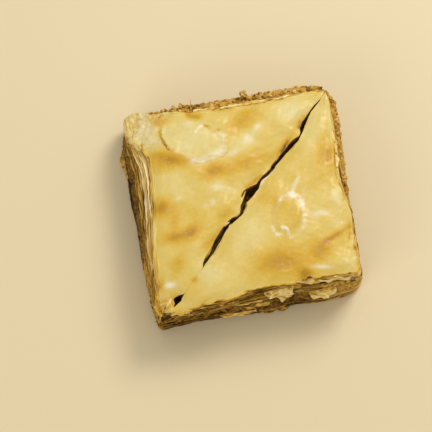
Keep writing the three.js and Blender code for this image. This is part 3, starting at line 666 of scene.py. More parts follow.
def make_half(name, corners, sides):
    """The outline of a half, anticlockwise: two outer sides and the wall of the cut.

    base and top are its points at the bottom and at the top sheet, even those of the top with the
    cut as an even bow; out points outwards; run is the length along the outline; along is the share
    of the diagonal for each point on the cut; outer is 0 on the cut; open is 0 where the cut is
    closed; nut is the filling's bulge; dark how dark it is with syrup and painted shade; torn, brown
    and lined are for the rim of the top sheet; inset is for ring_at.
    """
    share = np.arange(POINTS_ON_CUT) / POINTS_ON_CUT
    along = 1 - share if corners[0] == "backRight" else share
    base, top = half_levels(name, corners, sides, along)
    even = np.vstack([top[:OUTER_POINTS], even_wall(along, name)])
    tangent = np.roll(even, -6, 0) - np.roll(even, 6, 0)
    out = np.stack([tangent[:, 1], -tangent[:, 0]], 1) / np.hypot(*tangent.T)[:, None]
    steps = np.hypot(*(np.roll(top, -1, 0) - top).T)
    outer = np.concatenate([np.ones(OUTER_POINTS), np.zeros(POINTS_ON_CUT)])
    gap = np.concatenate([np.full(OUTER_POINTS, 9.0), lip("front", along) - lip("back", along)])
    bulges = {side: list(enumerate(SIDES[side]["nut_bulge"])) for side in sides}
    half = {"name": name, "sides": sides, "base": base, "top": top, "even": even, "out": out,
            "along": along, "outer": eased(outer),
            "open": eased(0.04 + 0.83 * smooth(gap, 0.1, 1.2), 3),
            "nut": eased(along_sides(sides, bulges, 0.0)),
            # On the cut the filling and the lower sheets are dark as painted shade inside the narrow
            # cut.
            "dark": eased(along_sides(sides, SYRUP_AND_SHADE, 0.9)),
            "torn": eased(along_sides(sides, RIM_TORN, 1.0)),
            "brown": eased(along_sides(sides, RIM_BROWN, LIP_BROWN[name])),
            "lined": eased(along_sides(sides, RIM_LINED, 0.0)),
            "run": np.cumsum(steps) - steps[0], "round": steps.sum(), "middle": even.mean(0),
            "seed": HALF_SEEDS[name]}
    half["inset"] = bends_inset(half, outer)
    half["rises"], half["tones"] = sheet_edges(half)
    return half


def cut_juts(half, k):
    """How far sheet k stands out into the cut, at every point of the outline."""
    jut = np.zeros(len(half["run"]))
    for name, number, first, last, far in CUT_JUTS:
        if name == half["name"] and number == k:
            middle, reach = (first + last) / 2, (last - first) / 2
            apart = np.abs(half["along"] - middle) / reach
            jut[OUTER_POINTS:] += far * (1 - smooth(apart, 0.6, 1.1))
    return jut


def sheet_edges(half):
    """For each of the eight sheets, its step inwards and its tone at every point of the outline."""
    rises, tones = [], []
    # Painted shade: near the front-left tip the tones on the cut are darker still, in the hole there.
    shade = 1 - 0.9 * smooth(half["along"], 0.88, 0.92)
    for k, cut_tone in enumerate(CUT_TONES[half["name"]]):
        rise = {side: [(row[0], row[1][k]) for row in SHEET_EDGES[side]] for side in half["sides"]}
        tone = {side: [(row[0], row[2][k]) for row in SHEET_EDGES[side]] for side in half["sides"]}
        uneven = 0.028 * rim_noise(half, 13, half["seed"] + 11 + k)
        uneven += 0.016 * rim_noise(half, 4, half["seed"] + 31 + k)
        rises.append(eased(along_sides(half["sides"], rise, 1.0) + uneven * half["outer"], 4))
        tones.append(eased(along_sides(half["sides"], tone, cut_tone * shade), 4))
    return rises, tones


# ------------------------------------------------------------------ meshes

def space_inside(points, quads, fans):
    """Six times the volume that the faces enclose, below zero where they face inwards."""
    triangles = np.vstack([quads[:, :3], quads[:, [0, 2, 3]], fans])
    a, b, c = (points[triangles[:, k]] for k in range(3))
    return (np.cross(a, b) * c).sum()


def ring_faces(count, around):
    """Faces of count rings of around points each, closed with a fan to a pole at either end.

    The two poles come after the rings' points, that of the first ring first.
    """
    step = np.arange(around)
    following = np.roll(step, -1)
    rows = np.arange(count - 1)[:, None] * around
    quads = np.stack([rows + step, rows + following, rows + around + following,
                      rows + around + step], -1).reshape(-1, 4)
    under, over, last = count * around, count * around + 1, (count - 1) * around
    fans = np.vstack([np.stack([np.full(around, under), following, step], 1),
                      np.stack([np.full(around, over), last + step, last + following], 1)])
    return quads, fans


def closed_solid(rings, **values):
    """Skins rings that run from the middle of the underside outwards, up and back in on top.

    rings is an array (ring, point, xyz). Each value is an array (ring, point) that becomes an
    attribute.
    """
    count, around = rings.shape[:2]
    points = np.vstack([rings.reshape(-1, 3), rings[0].mean(0), rings[-1].mean(0)])
    quads, fans = ring_faces(count, around)
    if space_inside(points, quads, fans) < 0:
        quads, fans = quads[:, ::-1], fans[:, ::-1]
    named = {}
    for name, grid in values.items():
        grid = np.broadcast_to(grid, (count, around))
        named[name] = np.concatenate([grid.ravel(), [grid[0].mean(), grid[-1].mean()]])
    return {"points": points, "quads": quads, "fans": fans, "values": named}


def facing(grid):
    """Normals of a grid of points (row, place, xyz), as long as its cells are large."""
    return np.cross(np.gradient(grid, axis=1), np.gradient(grid, axis=0))


def thin_shell(grid, thick, **values):
    """A grid of points (row, place, xyz) as a closed sheet: its copy lies one thickness beneath.

    Each row goes out along the sheet and back along the copy, so the rows are closed rings.
    """
    normal = facing(grid)
    normal /= np.linalg.norm(normal, axis=2, keepdims=True) + 1e-9
    rings = np.concatenate([grid, (grid - thick * normal)[:, ::-1]], axis=1)
    doubled = {name: np.concatenate([value, value[:, ::-1]], axis=1) for name, value in values.items()}
    return closed_solid(rings, **doubled)


def combined(solids):
    """Several solids as one, with their attributes."""
    start, quads, fans = 0, [], []
    for solid in solids:
        quads.append(solid["quads"] + start)
        fans.append(solid["fans"] + start)
        start += len(solid["points"])
    names = solids[0]["values"].keys()
    return {"points": np.vstack([s["points"] for s in solids]), "quads": np.vstack(quads),
            "fans": np.vstack(fans),
            "values": {n: np.concatenate([s["values"][n] for s in solids]) for n in names}}


def add_piece(name, solid, material, nodes=(), crease=40):
    """Writes a solid into a mesh object that rides on the body and stands for CAD nodes."""
    mesh = bpy.data.meshes.new(name)
    mesh.from_pydata(solid["points"] * MM, [], solid["quads"].tolist() + solid["fans"].tolist())
    for label, values in solid["values"].items():
        layer = mesh.attributes.new(label, "FLOAT", "POINT")
        layer.data.foreach_set("value", values.astype(np.float32))
    mesh.shade_smooth()
    mesh.set_sharp_from_angle(angle=math.radians(crease))
    mesh.materials.append(material)
    piece = bpy.data.objects.new(name, mesh)
    bpy.context.scene.collection.objects.link(piece)
    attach(piece, "root")
    if nodes:
        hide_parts(*nodes)


def ring_at(half, rise, scale=1.0, out=0.0):
    """Plan points of one ring: between base and top by rise, moved out, shrunk by scale.

    Away from the edge the cut's bends give way to its even bow.
    """
    rise = np.broadcast_to(rise, half["run"].shape)[:, None]
    edge = half["base"] * (1 - rise) + half["top"] * rise
    edge = edge + half["out"] * np.broadcast_to(out, half["run"].shape)[:, None]
    evened = (1 - smooth(scale, BENDS_FROM + half["inset"], 1))[:, None]
    edge = edge * (1 - evened) + half["even"] * evened
    return half["middle"] + (edge - half["middle"]) * scale


# ------------------------------------------------------------------ filo sheets

# How thick the top sheet, the two kinds under it and the lower sheets are; how far a thin sheet lies
# below its thick one and stands out; how many lower sheets and rings of the top there are.
TOP_THICK = 0.42
THICK_SHEET = 0.42
THIN_SHEET = {"thick": 0.3, "below": 0.45, "out": 0.014, "uneven": 0.024, "uneven_size": 6}
LOWER_SHEET = 0.58
LOWER_SHEETS = 9
TOP_RINGS = 92
# Where the thick sheets start above the filling, and where they end below the top.
SHEETS_START = 0.5
SHEETS_END = 0.2
# Scales of the rings of a sheet, from near its middle to its edge.
MAIN_SCALES = np.array([0.45, 0.8, 0.9, 0.95, 0.98, 1.0])
THIN_SCALES = np.array([0.8, 0.95, 1.0])
# How far the middles of the sheets, which never show, hang below their edges.
HIDDEN_DROP = {"sheet": 3.0, "top": 2.0}
# The length from the rim of a half to its middle, as the streaks of a sheet and the lines of the
# top sheet take it.
STREAKS_INWARDS = 62
HALF_SPAN = 36
# Amount and size of the curl of the top sheet's rim.
TOP_CURL = [(0.14, 8), (0.08, 2.5)]


def own_place(seed, step, cycle):
    """A shift of the streaks that differs from one seed to the next."""
    return step * (seed % cycle)


def ragged_edge(half, seed, amount):
    """How far a sheet's edge stands out: slow and quick wander, with a few chips broken off."""
    wander = rim_waves(half, EDGE_WANDER, seed)
    chips = np.maximum(rim_noise(half, EDGE_CHIPS["size"], seed + 3) - EDGE_CHIPS["over"], 0)
    chips = chips * EDGE_CHIPS["depth"]
    on_cut = 1 - half["outer"]
    inward = wander * half["outer"] + 0.35 * np.abs(wander) * on_cut * half["open"]
    return -(inward + chips * half["outer"]) * amount


def sheet(half, rise, height, thick, seed, follow, tone, scales, ragged=0.35, curl=0.16, jut=0.0):
    """One thin sheet: rings of its underside out to the ragged edge and back over the top.

    Its height is the settled stack's, plus a share of the top sheet's relief, plus a waviness
    that grows towards the edge; it never comes above the underside of the top sheet. Its middle,
    which never shows, hangs low so that the sheets stay apart there.
    """
    out = ragged_edge(half, seed, ragged) + jut
    wave = curl * rim_waves(half, EDGE_WAVE, seed + 5)
    order = np.concatenate([scales, scales[::-1]])
    faces = np.concatenate([-np.ones(len(scales)), np.ones(len(scales))])[:, None]
    x, y = np.moveaxis(np.array([ring_at(half, rise, scale, out) for scale in order]), 2, 0)
    hidden = 1 - smooth(order, 0.8, 0.95)[:, None]
    z = height * settled(x, y) + wave * smooth(order, 0.9, 1)[:, None]
    if follow:
        smooth_top = top_height(half, x, y, fine=False)
        z += follow * (smooth_top - UPPER_FILO_TOP * settled(x, y) - 2 * LAYER_GAP)
        z = np.minimum(z, top_height(half, x, y) - TOP_THICK - LAYER_GAP)
        z -= HIDDEN_DROP["sheet"] * hidden
    z += faces * thick / 2
    inwards = (1 - order)[:, None]
    across = inwards * STREAKS_INWARDS + 0.5 * faces * inwards + own_place(seed, 3.7, 97)
    return closed_solid(np.dstack([x, y, z]), tone=tone + 0.07 * rim_noise(half, 3, seed + 7),
                        along=half["run"], across=across)


def upper_sheets(half):
    """Eight thick sheets from the filling up to the top one, each with a thin one under its edge.

    Sheet k lies k and a half pitches up. The thin one is darker, for syrup and as painted shade of
    the gap under the thick one, lies a little lower and stands out unevenly from under its edge.
    """
    count = len(half["rises"])
    pitch = (UPPER_FILO_TOP - SHEETS_END - FILLING_TOP) / count
    sheets = []
    for k, (rise, tone) in enumerate(zip(half["rises"], half["tones"])):
        follow = ((k + 0.5) / count) ** 1.5
        seed = half["seed"] + 20 * k
        height = FILLING_TOP + SHEETS_START + pitch * (k + 0.5)
        jut = cut_juts(half, k)
        # A sheet that juts into the cut is lighter, standing out of the cut's painted shade.
        sheets.append(sheet(half, rise, height, THICK_SHEET, seed, follow,
                            tone + 0.35 * smooth(jut, 0.03, 0.15), MAIN_SCALES, jut=jut))
        beneath = 0.16 + 0.3 * (1 - tone)
        beneath = beneath * half["outer"] + (0.6 * tone + 0.15) * (1 - half["outer"])
        uneven = THIN_SHEET["uneven"] * rim_noise(half, THIN_SHEET["uneven_size"], seed + 15)
        rise = rise - half["outer"] * (THIN_SHEET["out"] + uneven)
        sheets.append(sheet(half, rise, height - THIN_SHEET["below"], THIN_SHEET["thick"], seed + 10,
                            follow, beneath, THIN_SCALES, ragged=0.45))
    return combined(sheets)


def lower_sheets(half):
    """Sheets from the floor up to the filling, evenly spaced; the bottom one is tucked under."""
    pitch = LOWER_FILO_TOP / LOWER_SHEETS
    sheets = []
    for k in range(LOWER_SHEETS):
        rise = BOTTOM_RISE if k == 0 else LOWER_EDGE_RISE * k / LOWER_SHEETS
        seed = half["seed"] + SEEDS["lower_sheets"] + 20 * k
        # Darker by dark: syrup, and painted shade on the sides that face away from the light.
        tone = np.random.default_rng(seed).uniform(0.3, 0.8) * (1 - 0.75 * half["dark"])
        sheets.append(sheet(half, rise, pitch * (k + 0.5), LOWER_SHEET, seed, 0.0, tone,
                            THIN_SCALES, ragged=0.4, curl=0.0 if k == 0 else 0.1))
    solid = combined(sheets)
    solid["points"][:, 2] = np.maximum(solid["points"][:, 2], 0.0)
    return solid


def patches_at(x, y, table):
    """The patches of a table at a place, each times its strength, added up."""
    return sum(strength * patch(x, y, at, size, turn) for at, size, turn, strength in table)


def lines_at(x, y, table):
    """The lines of a table at a place, each times its last value, added up."""
    return sum(strength * near_line(x, y, stops, width) for stops, width, _, strength in table)


def top_colour(x, y):
    """How baked and shaded, how pale and how white the top is at a place: patches and lines added up.
    The creases add painted shade, the white ridges painted highlight, the white dabs and small pale
    spots dry filo and painted highlight.
    """
    bake = BAKED * patches_at(x, y, BAKED_PATCHES) + lines_at(x, y, DARK_CREASES)
    ring = in_ellipse(x, y, **BLISTER_FLOOR)
    bake = bake + BLISTER_BAKED * (1 - smooth(ring, 0.8, 1.0))
    pale = patches_at(x, y, PALE_PATCHES)
    seed = SEEDS["broken_white"]
    broken = 0.9 + 0.3 * crossing_waves(x, y, 4.5, seed) + 0.28 * crossing_waves(x, y, 1.3, seed + 2)
    broken = np.clip(broken, 0.1, 1.4)
    white = lines_at(x, y, WHITE_RIDGES) * broken + patches_at(x, y, WHITE_DABS)
    mottle = crumpled(x, y) ** 1.5 * crossing_waves(x, y, 2.2, SEEDS["mottle"])
    return bake + 0.12 * mottle, pale - 0.2 * mottle, white


def margin_lines(half, inset, seed):
    """Fine lines that run along the margin of the top, 1 on a ridge and -1 in a groove.

    They are waves, short across the margin and long along it, that fade out inwards from the rim.
    """
    lines = crossing_waves(3.2 * inset, 0.1 * half["run"], 1.7, seed)
    return lines * half["lined"] * (1 - smooth(inset, 0.8, 3.2)) * (inset > 0.1)


def rim_colour(half, scales, seed):
    """How much more brown, and how much more white along the cut, the rings near the rim are.

    Both come in over the last rings, by uneven amounts along the rim, where the rim is not shut. The
    brown is baking, and on the back near its left end a painted shadow line; the white is dry filo
    and painted highlight.
    """
    is_open = smooth(half["open"], 0.2, 0.5)
    strength = half["brown"] * (1 + 0.5 * rim_noise(half, 5, seed)) * is_open
    brown_and_shadow = smooth(scales, 0.972, 0.995)[:, None] * np.clip(strength, 0, 1.2)
    dry_and_lit = LIP_WHITE[half["name"]] * (1 - half["outer"])
    dry_and_lit = dry_and_lit * smooth(rim_noise(half, 3, seed + 2), -0.6, 0.8)
    return brown_and_shadow, smooth(scales, 0.982, 0.997)[:, None] * dry_and_lit * is_open


def top_sheet(half):
    """The top sheet: close rings carry the relief, and its thin edge is ragged and brown, baked and in
    places a painted shadow line.

    The rings run out along the underside, then back in over the top, closer together at the rim.
    """
    seed = half["seed"] + SEEDS["top_sheet"]
    under = len(MAIN_SCALES)
    chips = 0.3 * np.maximum(rim_noise(half, 2.2, seed + 9), 0) * half["outer"]
    out = (ragged_edge(half, seed, 0.4) - chips) * half["torn"]
    curl = rim_waves(half, TOP_CURL, seed + 5) * smooth(half["open"], 0.1, 0.8)
    scales = np.concatenate([MAIN_SCALES, 1 - (np.arange(TOP_RINGS) / TOP_RINGS) ** 1.2])
    x, y = np.moveaxis(np.array([ring_at(half, 1.0, scale, out) for scale in scales]), 2, 0)
    z = top_height(half, x, y) + curl * smooth(scales, 0.9, 1)[:, None]
    z[:under] -= TOP_THICK + HIDDEN_DROP["top"] * (1 - smooth(MAIN_SCALES, 0.8, 0.95))[:, None]
    bake, pale, white = top_colour(x, y)
    lines = margin_lines(half, np.broadcast_to((1 - scales[:, None]) * HALF_SPAN, x.shape), seed + 12)
    # The grooves of the margin lines are painted darker as shade, their ridges paler as highlight.
    bake, pale = bake + 0.4 * np.maximum(-lines, 0), pale + 0.5 * np.maximum(lines, 0)
    z[under:] += 0.06 * lines[under:]
    brown_and_shadow, whitened = rim_colour(half, scales, seed + 8)
    return closed_solid(np.dstack([x, y, z]), bake=bake + brown_and_shadow, pale=pale, white=white + whitened)


def loose_top_flake(half, around=260, rings=26):
    """The loosened flake: rings round its middle, lying on the top sheet, its rim curling up."""
    rim = np.array(FLAKE_RIM)
    closed = np.vstack([rim, rim[:1]])
    length = np.concatenate([[0], np.cumsum(np.hypot(*np.diff(closed[:, :2], axis=0).T))])
    share = np.arange(around) / around
    x_rim, y_rim, lift = (np.interp(share * length[-1], length, closed[:, k]) for k in range(3))
    seed = SEEDS["top_flake"]
    jag = 1 + 0.02 * round_noise(share, 36, seed) + 0.018 * round_noise(share, 110, seed + 1)
    under = [0.15, 0.5, 0.8, 0.95, 1.0]
    scales = np.concatenate([under, 1 - (np.arange(rings) / rings) ** 1.3])
    x = FLAKE_MIDDLE[0] + np.outer(scales, (x_rim - FLAKE_MIDDLE[0]) * jag)
    y = FLAKE_MIDDLE[1] + np.outer(scales, (y_rim - FLAKE_MIDDLE[1]) * jag)
    wave = np.maximum(0.05 * crossing_waves(x, y, 5, seed + 2) + 0.09, 0.02)
    stuck = np.outer(smooth(scales, 0.82, 1), 1 - smooth(lift, 0, 0.15))
    z = top_height(half, x, y) + wave * (1 - 1.3 * stuck) + np.outer(smooth(scales, 0.8, 1), lift)
    z[:len(under)] -= FLAKE_THICK
    bake, pale, white = top_colour(x, y)
    # Painted highlight along the lifted parts of the rim.
    rim_highlight = np.outer(smooth(scales, 0.88, 0.98), smooth(lift, 0.2, 0.4))
    return closed_solid(np.dstack([x, y, z]), bake=0.4 * bake, pale=pale + 0.3,
                        white=white + 0.2 * rim_highlight)


# ------------------------------------------------------------------ crumpled and torn sheets

def outline_at(half, places, rise, out=0.0):
    """Plan points of the outline at fractional places on it: between base and top, moved out."""
    ring = ring_at(half, rise, out=out)
    before = np.floor(places).astype(int)
    share = (places - before)[:, None]
    return ring[before % len(ring)] * (1 - share) + ring[(before + 1) % len(ring)] * share


def run_at(half, places):
    """Length along the outline at fractional places on it."""
    return np.interp(places, np.arange(len(half["run"])), half["run"])


def outwards_at(half, places):
    """The way out of the outline at fractional places on it."""
    return outline_at(half, places, 0.0, out=1.0) - outline_at(half, places, 0.0)


def creased(u, v, size, seed):
    """Sharp folds about size apart, 0 in the valleys and up to 1 on the ridges."""
    large = np.clip(1 - np.abs(crossing_waves(u, v, size, seed)), -0.5, 1)
    small = 1 - np.abs(crossing_waves(u, v, size / 2.3, seed + 1))
    return np.clip(0.65 * large + 0.35 * small, 0, 1)


# A drape: how thick it is, the share of its rows on the top, how far it is lifted and puffed out.
DRAPE = {"thick": 0.14, "on_top": 0.36, "lift": 0.04, "puff": 0.06, "lowest": 0.2}


def draped(half, stops, seed, columns, rows):
    """A sheet over the rim of the top, before it is crumpled: (row, column, xyz).

    Its rows run along the rim. The first ones lie on the top, from inside up to the rim; the rest
    hang down the side and stand out from it. Its inner and lower edges wander.
    """
    table = np.array(stops, float)
    places = table[0, 0] + (table[-1, 0] - table[0, 0]) * np.linspace(0, 1, columns)
    hang, out, inside = (np.interp(places, table[:, 0], table[:, k]) for k in (1, 2, 3))
    run = run_at(half, places)
    torn = 1 + 0.2 * waves_along(run, 7, seed) + 0.05 * waves_along(run, 2.2, seed + 1)
    hang = hang * np.clip(torn, 0.4, 1.5)
    inside = inside * (1 + 0.3 * waves_along(run, 6, seed + 2))
    out = out * (1 + 0.4 * waves_along(run, 4.5, seed + 8))
    rim, foot = outline_at(half, places, 1.0), outline_at(half, places, 0.0)
    ahead = outwards_at(half, places)
    room = UPPER_FILO_TOP - FILLING_TOP
    grid = []
    for v in np.linspace(0, 1, rows):
        on_top = min(v / DRAPE["on_top"], 1)
        down = max((v - DRAPE["on_top"]) / (1 - DRAPE["on_top"]), 0)
        flat = half["middle"] + (rim - half["middle"]) * (1 - inside * (1 - on_top))[:, None]
        lower = np.clip(1 - down * hang / room * 0.66, 0.3, 1)[:, None]
        plan = (foot - rim) * (1 - lower) + flat + ahead * (out * smooth(v, 0.2, 0.6))[:, None]
        grid.append(np.column_stack([plan, top_height(half, *flat.T) - hang * down ** 1.2]))
    return np.array(grid)


def drape(half, stops, seed, crumple, pale, bake, columns=150, rows=52):
    """A crumpled sheet over the rim of the top: the draped sheet pushed out along its normals.

    The push is a thin lift plus crumple times two sizes of folds that run from front to back, and
    it fades out at the inner edge and at both ends. Valleys are darker, as painted shade, and ridges
    white, as painted highlight.
    """
    grid = draped(half, stops, seed, columns, rows)
    x, y, z = np.moveaxis(grid, 2, 0)
    u, share = np.linspace(0, 1, columns), np.linspace(0, 1, rows)[:, None]
    edge = smooth(share, 0, 0.35) * smooth(u, 0, 0.1) * (1 - smooth(u, 0.9, 1))
    folds = 0.55 * creased(x + 0.1 * y, 0.2 * y + 0.4 * z, 2.6, seed + 3)
    folds += 0.45 * creased(x, 0.15 * y + 0.2 * z, 0.9, seed + 5)
    normal = facing(grid)
    normal /= np.linalg.norm(normal, axis=2, keepdims=True)
    normal *= np.sign(normal[0, columns // 2, 2])
    push = DRAPE["lift"] + (DRAPE["puff"] + crumple * folds) * edge
    pushed = grid + normal * push[..., None]
    pushed[..., 2] = np.maximum(pushed[..., 2], DRAPE["lowest"])
    top_bake, top_pale, top_white = top_colour(x, y)
    valley_shade = np.clip(0.55 - folds, 0, 1)
    mottle = 0.25 * crossing_waves(x, y, 3, seed + 6)
    # The valleys add painted shade, the fold ridges painted highlight.
    return thin_shell(pushed, DRAPE["thick"],
                      bake=top_bake + edge * (bake + 1.2 * valley_shade - 0.3 * mottle),
                      pale=top_pale * (1 - edge) + edge * (pale + mottle),
                      white=top_white + edge * (0.12 * pale + 0.6 * np.clip(folds - 0.55, 0, 1)))


# Heights on the side of the stack, and how far each has stepped in from the base to the top.
WALL_HEIGHTS = (0.0, LOWER_FILO_TOP, FILLING_TOP, UPPER_FILO_TOP)
WALL_RISES = (0.0, LOWER_EDGE_RISE, FILLING_EDGE_RISE, 1.0)
# A torn sheet on a side: its thickness, how deep it is tucked in, how much one end is longer.
FLAKE = {"thick": 0.16, "tucked": 0.45, "slant": 0.25, "crumple": 0.1, "lowest": 0.25}


def side_flake(half, first, last, high, low, out, tone, seed, columns=48, rows=20):
    """A torn sheet on a side of the stack, from high down to low.

    Its upper edge is tucked into the stack and lies in its shade, its ends taper, its lower edge is
    torn and slants, and it stands out by out there. It is creased along its length.
    """
    u = np.linspace(0, 1, columns)
    places = first + (last - first) * u
    run = run_at(half, places)
    slant = FLAKE["slant"] * (-1) ** (seed // 10)
    bow = (1 - np.abs(2 * u - 1) ** 4) * (1 + slant * (2 * u - 1))
    jag = 0.1 * waves_along(run, 5, seed) + 0.06 * waves_along(run, 1.8, seed + 1)
    span = (high - low) * np.clip(bow * (0.9 + jag), 0.04, 1.3)
    start = high + 0.3 * waves_along(run, 5, seed + 2)
    base, top = outline_at(half, places, 0.0), outline_at(half, places, 1.0)
    ahead = outwards_at(half, places)
    grid = []
    for v in np.linspace(0, 1, rows):
        z = start - span * v
        rise = np.interp(z, WALL_HEIGHTS, WALL_RISES)[:, None]
        wave = 0.25 * crossing_waves(run, z, 3.5, seed + 3)
        folds = creased(run * 0.3, z * 1.2 + 0.15 * run, 2.4, seed + 4)
        bent = math.sin(0.5 * math.pi * v) ** 0.8
        away = (out + FLAKE["tucked"]) * bent - FLAKE["tucked"] + wave * v
        away = away + FLAKE["crumple"] * folds * bent
        plan = base * (1 - rise) + top * rise + ahead * away[:, None]
        grid.append(np.column_stack([plan, z * settled(*plan.T)]))
    grid = np.array(grid)
    grid[..., 2] = np.maximum(grid[..., 2], FLAKE["lowest"])
    down = np.linspace(0, 1, rows)[:, None]
    mottle = 0.08 * crossing_waves(run, 2 * grid[..., 2], 2.4, seed + 6)
    shade = tone - 0.3 * (1 - smooth(down, 0, 0.45)) + mottle
    across = (high - low) * down + own_place(seed, 3.1, 89)
    return thin_shell(grid, FLAKE["thick"], tone=shade, along=np.broadcast_to(run, shade.shape),
                      across=np.broadcast_to(across, shade.shape))


# ------------------------------------------------------------------ nut filling

# Rings up the side of the filling, and the depth and size of its lumps.
NUT_ROWS = 15
NUT_LUMPS = [(0.24, 3.6), (0.16, 1.5)]
# Chopped nuts: sizes, the share that is larger and by how much, the largest on the cut, the share
# of its size that each sits below the surface, their tone.
NUTS = {"sizes": (0.9, 2.0), "large_share": 0.12, "large": 1.4, "largest_on_cut": 1.3,
        "sunk": 0.28, "tone": 0.64}


def swollen(share):
    """How far the filling's bulge has come at a share of its height: half a sine, made blunter."""
    return np.sin(np.pi * share) ** 0.6


def filling_rise(share):
    """How far a share of the filling's height has stepped in from the base to the top sheet."""
    return LOWER_EDGE_RISE + (FILLING_EDGE_RISE - LOWER_EDGE_RISE) * share


def nut_core(half):
    """The body of the filling: rings up its side, swollen between the filo and lumpy all over.

    A ring stands out by the bulge at its height, plus lumps of two sizes. Two rings close each end.
    """
    seed = half["seed"] + SEEDS["nut_core"]
    heights = np.linspace(LOWER_FILO_TOP + LAYER_GAP, FILLING_TOP + LAYER_GAP, NUT_ROWS)
    side = []
    for k, height in enumerate(heights):
        share = k / (NUT_ROWS - 1)
        plan = ring_at(half, filling_rise(share))
        lumps = sum(depth * crossing_waves(half["run"], height, size, seed + number)
                    for number, (depth, size) in enumerate(NUT_LUMPS))
        out = half["outer"] * half["nut"] * swollen(share)
        out = out + (lumps - 0.3) * (0.35 + 0.65 * half["outer"])
        x, y = (plan + half["out"] * out[:, None]).T
        side.append(np.stack([x, y, height * settled(x, y)], 1))
    ends = []
    for ring, height, scales in ((side[0], heights[0], (0.6, 0.9)), (side[-1], heights[-1], (0.9, 0.6))):
        inner = [half["middle"] + (ring[:, :2] - half["middle"]) * scale for scale in scales]
        ends.append([np.column_stack([plan, height * settled(*plan.T)]) for plan in inner])
    rings = np.array(ends[0] + side + ends[1])
    tone = 0.6 + 0.15 * crossing_waves(rings[..., 0] + rings[..., 2], rings[..., 1], 2.5, seed + 2)
    # Darker by dark: syrup, and painted shade on the sides that face away from the light and in the cut.
    return closed_solid(rings, tone=tone * (1 - 0.7 * half["dark"]))


def blocky_ball(across, up):
    """Points of a ball of up rings of across points, and its two poles, pushed towards a box."""
    tilt = np.linspace(0, np.pi, up + 2)[1:-1]
    turn = np.arange(across) * 2 * np.pi / across
    ball = np.stack([np.outer(np.sin(tilt), np.cos(turn)), np.outer(np.sin(tilt), np.sin(turn)),
                     np.outer(np.cos(tilt), np.ones(across))], -1)[::-1].reshape(-1, 3)
    ball = np.vstack([ball, [[0, 0, -1], [0, 0, 1]]])
    return np.sign(ball) * np.abs(ball) ** 0.75


def nut_bits(centres, sizes, tones, seed, across=8, up=5):
    """Broken bits of nut: blocky balls pushed in and out, stretched, turned and set in place.

    The push is two sines of the distance along random directions; the turn is a random rotation.
    """
    rng = np.random.default_rng(seed)
    count = len(centres)
    ball = blocky_ball(across, up)
    push = np.ones((count, len(ball)))
    for rate, depth in ((2.2, 0.2), (4.5, 0.13)):
        heading = rng.normal(size=(count, 3))
        push += depth * np.sin(rate * heading @ ball.T + rng.uniform(0, 6.3, (count, 1)))
    stretch = rng.uniform(0.55, 1.15, (count, 1, 3))
    spin, _ = np.linalg.qr(rng.normal(size=(count, 3, 3)))
    spin *= np.sign(np.linalg.det(spin))[:, None, None]
    local = ball[None] * push[..., None] * stretch * sizes[:, None, None] / 2
    points = np.einsum("nij,nkj->nki", spin, local) + centres[:, None, :]
    quads, fans = ring_faces(up, across)
    shift = (np.arange(count) * len(ball))[:, None, None]
    return {"points": points.reshape(-1, 3), "quads": (quads[None] + shift).reshape(-1, 4),
            "fans": (fans[None] + shift).reshape(-1, 3),
            "values": {"tone": np.repeat(tones, len(ball))}}


def on_wall(half, index, rise):
    """Plan points on the side of the stack: between base and top by rise, at outline points."""
    return half["base"][index] * (1 - rise)[:, None] + half["top"][index] * rise[:, None]


def chopped_nuts(half, count):
    """Chopped nuts pressed into the side of the filling, most on the outer sides.

    Places are random round the outline and up the filling; each bit sits a little way in from the
    bulge, by its size, and is darker where the filling is dark with syrup and painted shade.
    """
    seed = half["seed"] + SEEDS["chopped_nuts"]
    rng = np.random.default_rng(seed)
    weight = 0.3 + 0.7 * half["outer"]
    index = rng.choice(len(weight), count, p=weight / weight.sum())
    share = rng.uniform(0.03, 0.97, count)
    sizes = rng.uniform(*NUTS["sizes"], count)
    sizes = sizes * np.where(rng.random(count) < NUTS["large_share"], NUTS["large"], 1.0)
    sizes = np.where(half["outer"][index] < 0.5, np.minimum(sizes, NUTS["largest_on_cut"]), sizes)
    out = half["nut"][index] * half["outer"][index] * swollen(share) - NUTS["sunk"] * sizes - 0.05
    plan = on_wall(half, index, filling_rise(share))
    x, y = (plan + half["out"][index] * out[:, None]).T
    room = FILLING_TOP - LOWER_FILO_TOP
    z = (LOWER_FILO_TOP + LAYER_GAP + share * room) * settled(x, y)
    slow = 0.22 * rim_noise(half, 6, seed + 2)[index]
    tones = np.clip(rng.normal(NUTS["tone"], 0.2, count) + slow, 0.1, 1.1)
    tones = tones * (1 - 0.7 * half["dark"][index])
    return nut_bits(np.stack([x, y, z], 1), sizes, tones, seed + 1)


# Bits of nut outside the filling: half, first and last place on its outline, heights from and to,
# how far out they lie, how many, tone.
STRAY_NUTS = [
    ("back", 104, 122, 12.4, 14.4, 1.2, 24, 0.75),
    ("front", 120, 149, 13.4, 18.4, 0.0, 90, 0.62),
    ("back", 172, 190, 0.7, 2.4, 0.4, 18, 0.50),
]


def stray_nuts(half, first, last, low, high, out, count, tone, seed):
    """A few bits of nut stuck to the side of the stack between two places and two heights.

    They stand out most half-way between the two places.
    """
    rng = np.random.default_rng(seed)
    index = rng.integers(first, last, count)
    z = rng.uniform(low, high, count)
    sizes = rng.uniform(0.8, 1.7, count)
    plan = on_wall(half, index, np.interp(z, WALL_HEIGHTS, WALL_RISES))
    between = 1 - np.abs(2 * (index - first) / (last - first) - 1)
    pile = out * rng.uniform(0.1, 1, count) * between - 0.2 * sizes
    x, y = (plan + half["out"][index] * pile[:, None]).T
    tones = rng.normal(tone, 0.15, count)
    bits = nut_bits(np.stack([x, y, z * settled(x, y)], 1), sizes, tones, seed + 1)
    bits["points"][:, 2] = np.maximum(bits["points"][:, 2], 0.05)
    return bits


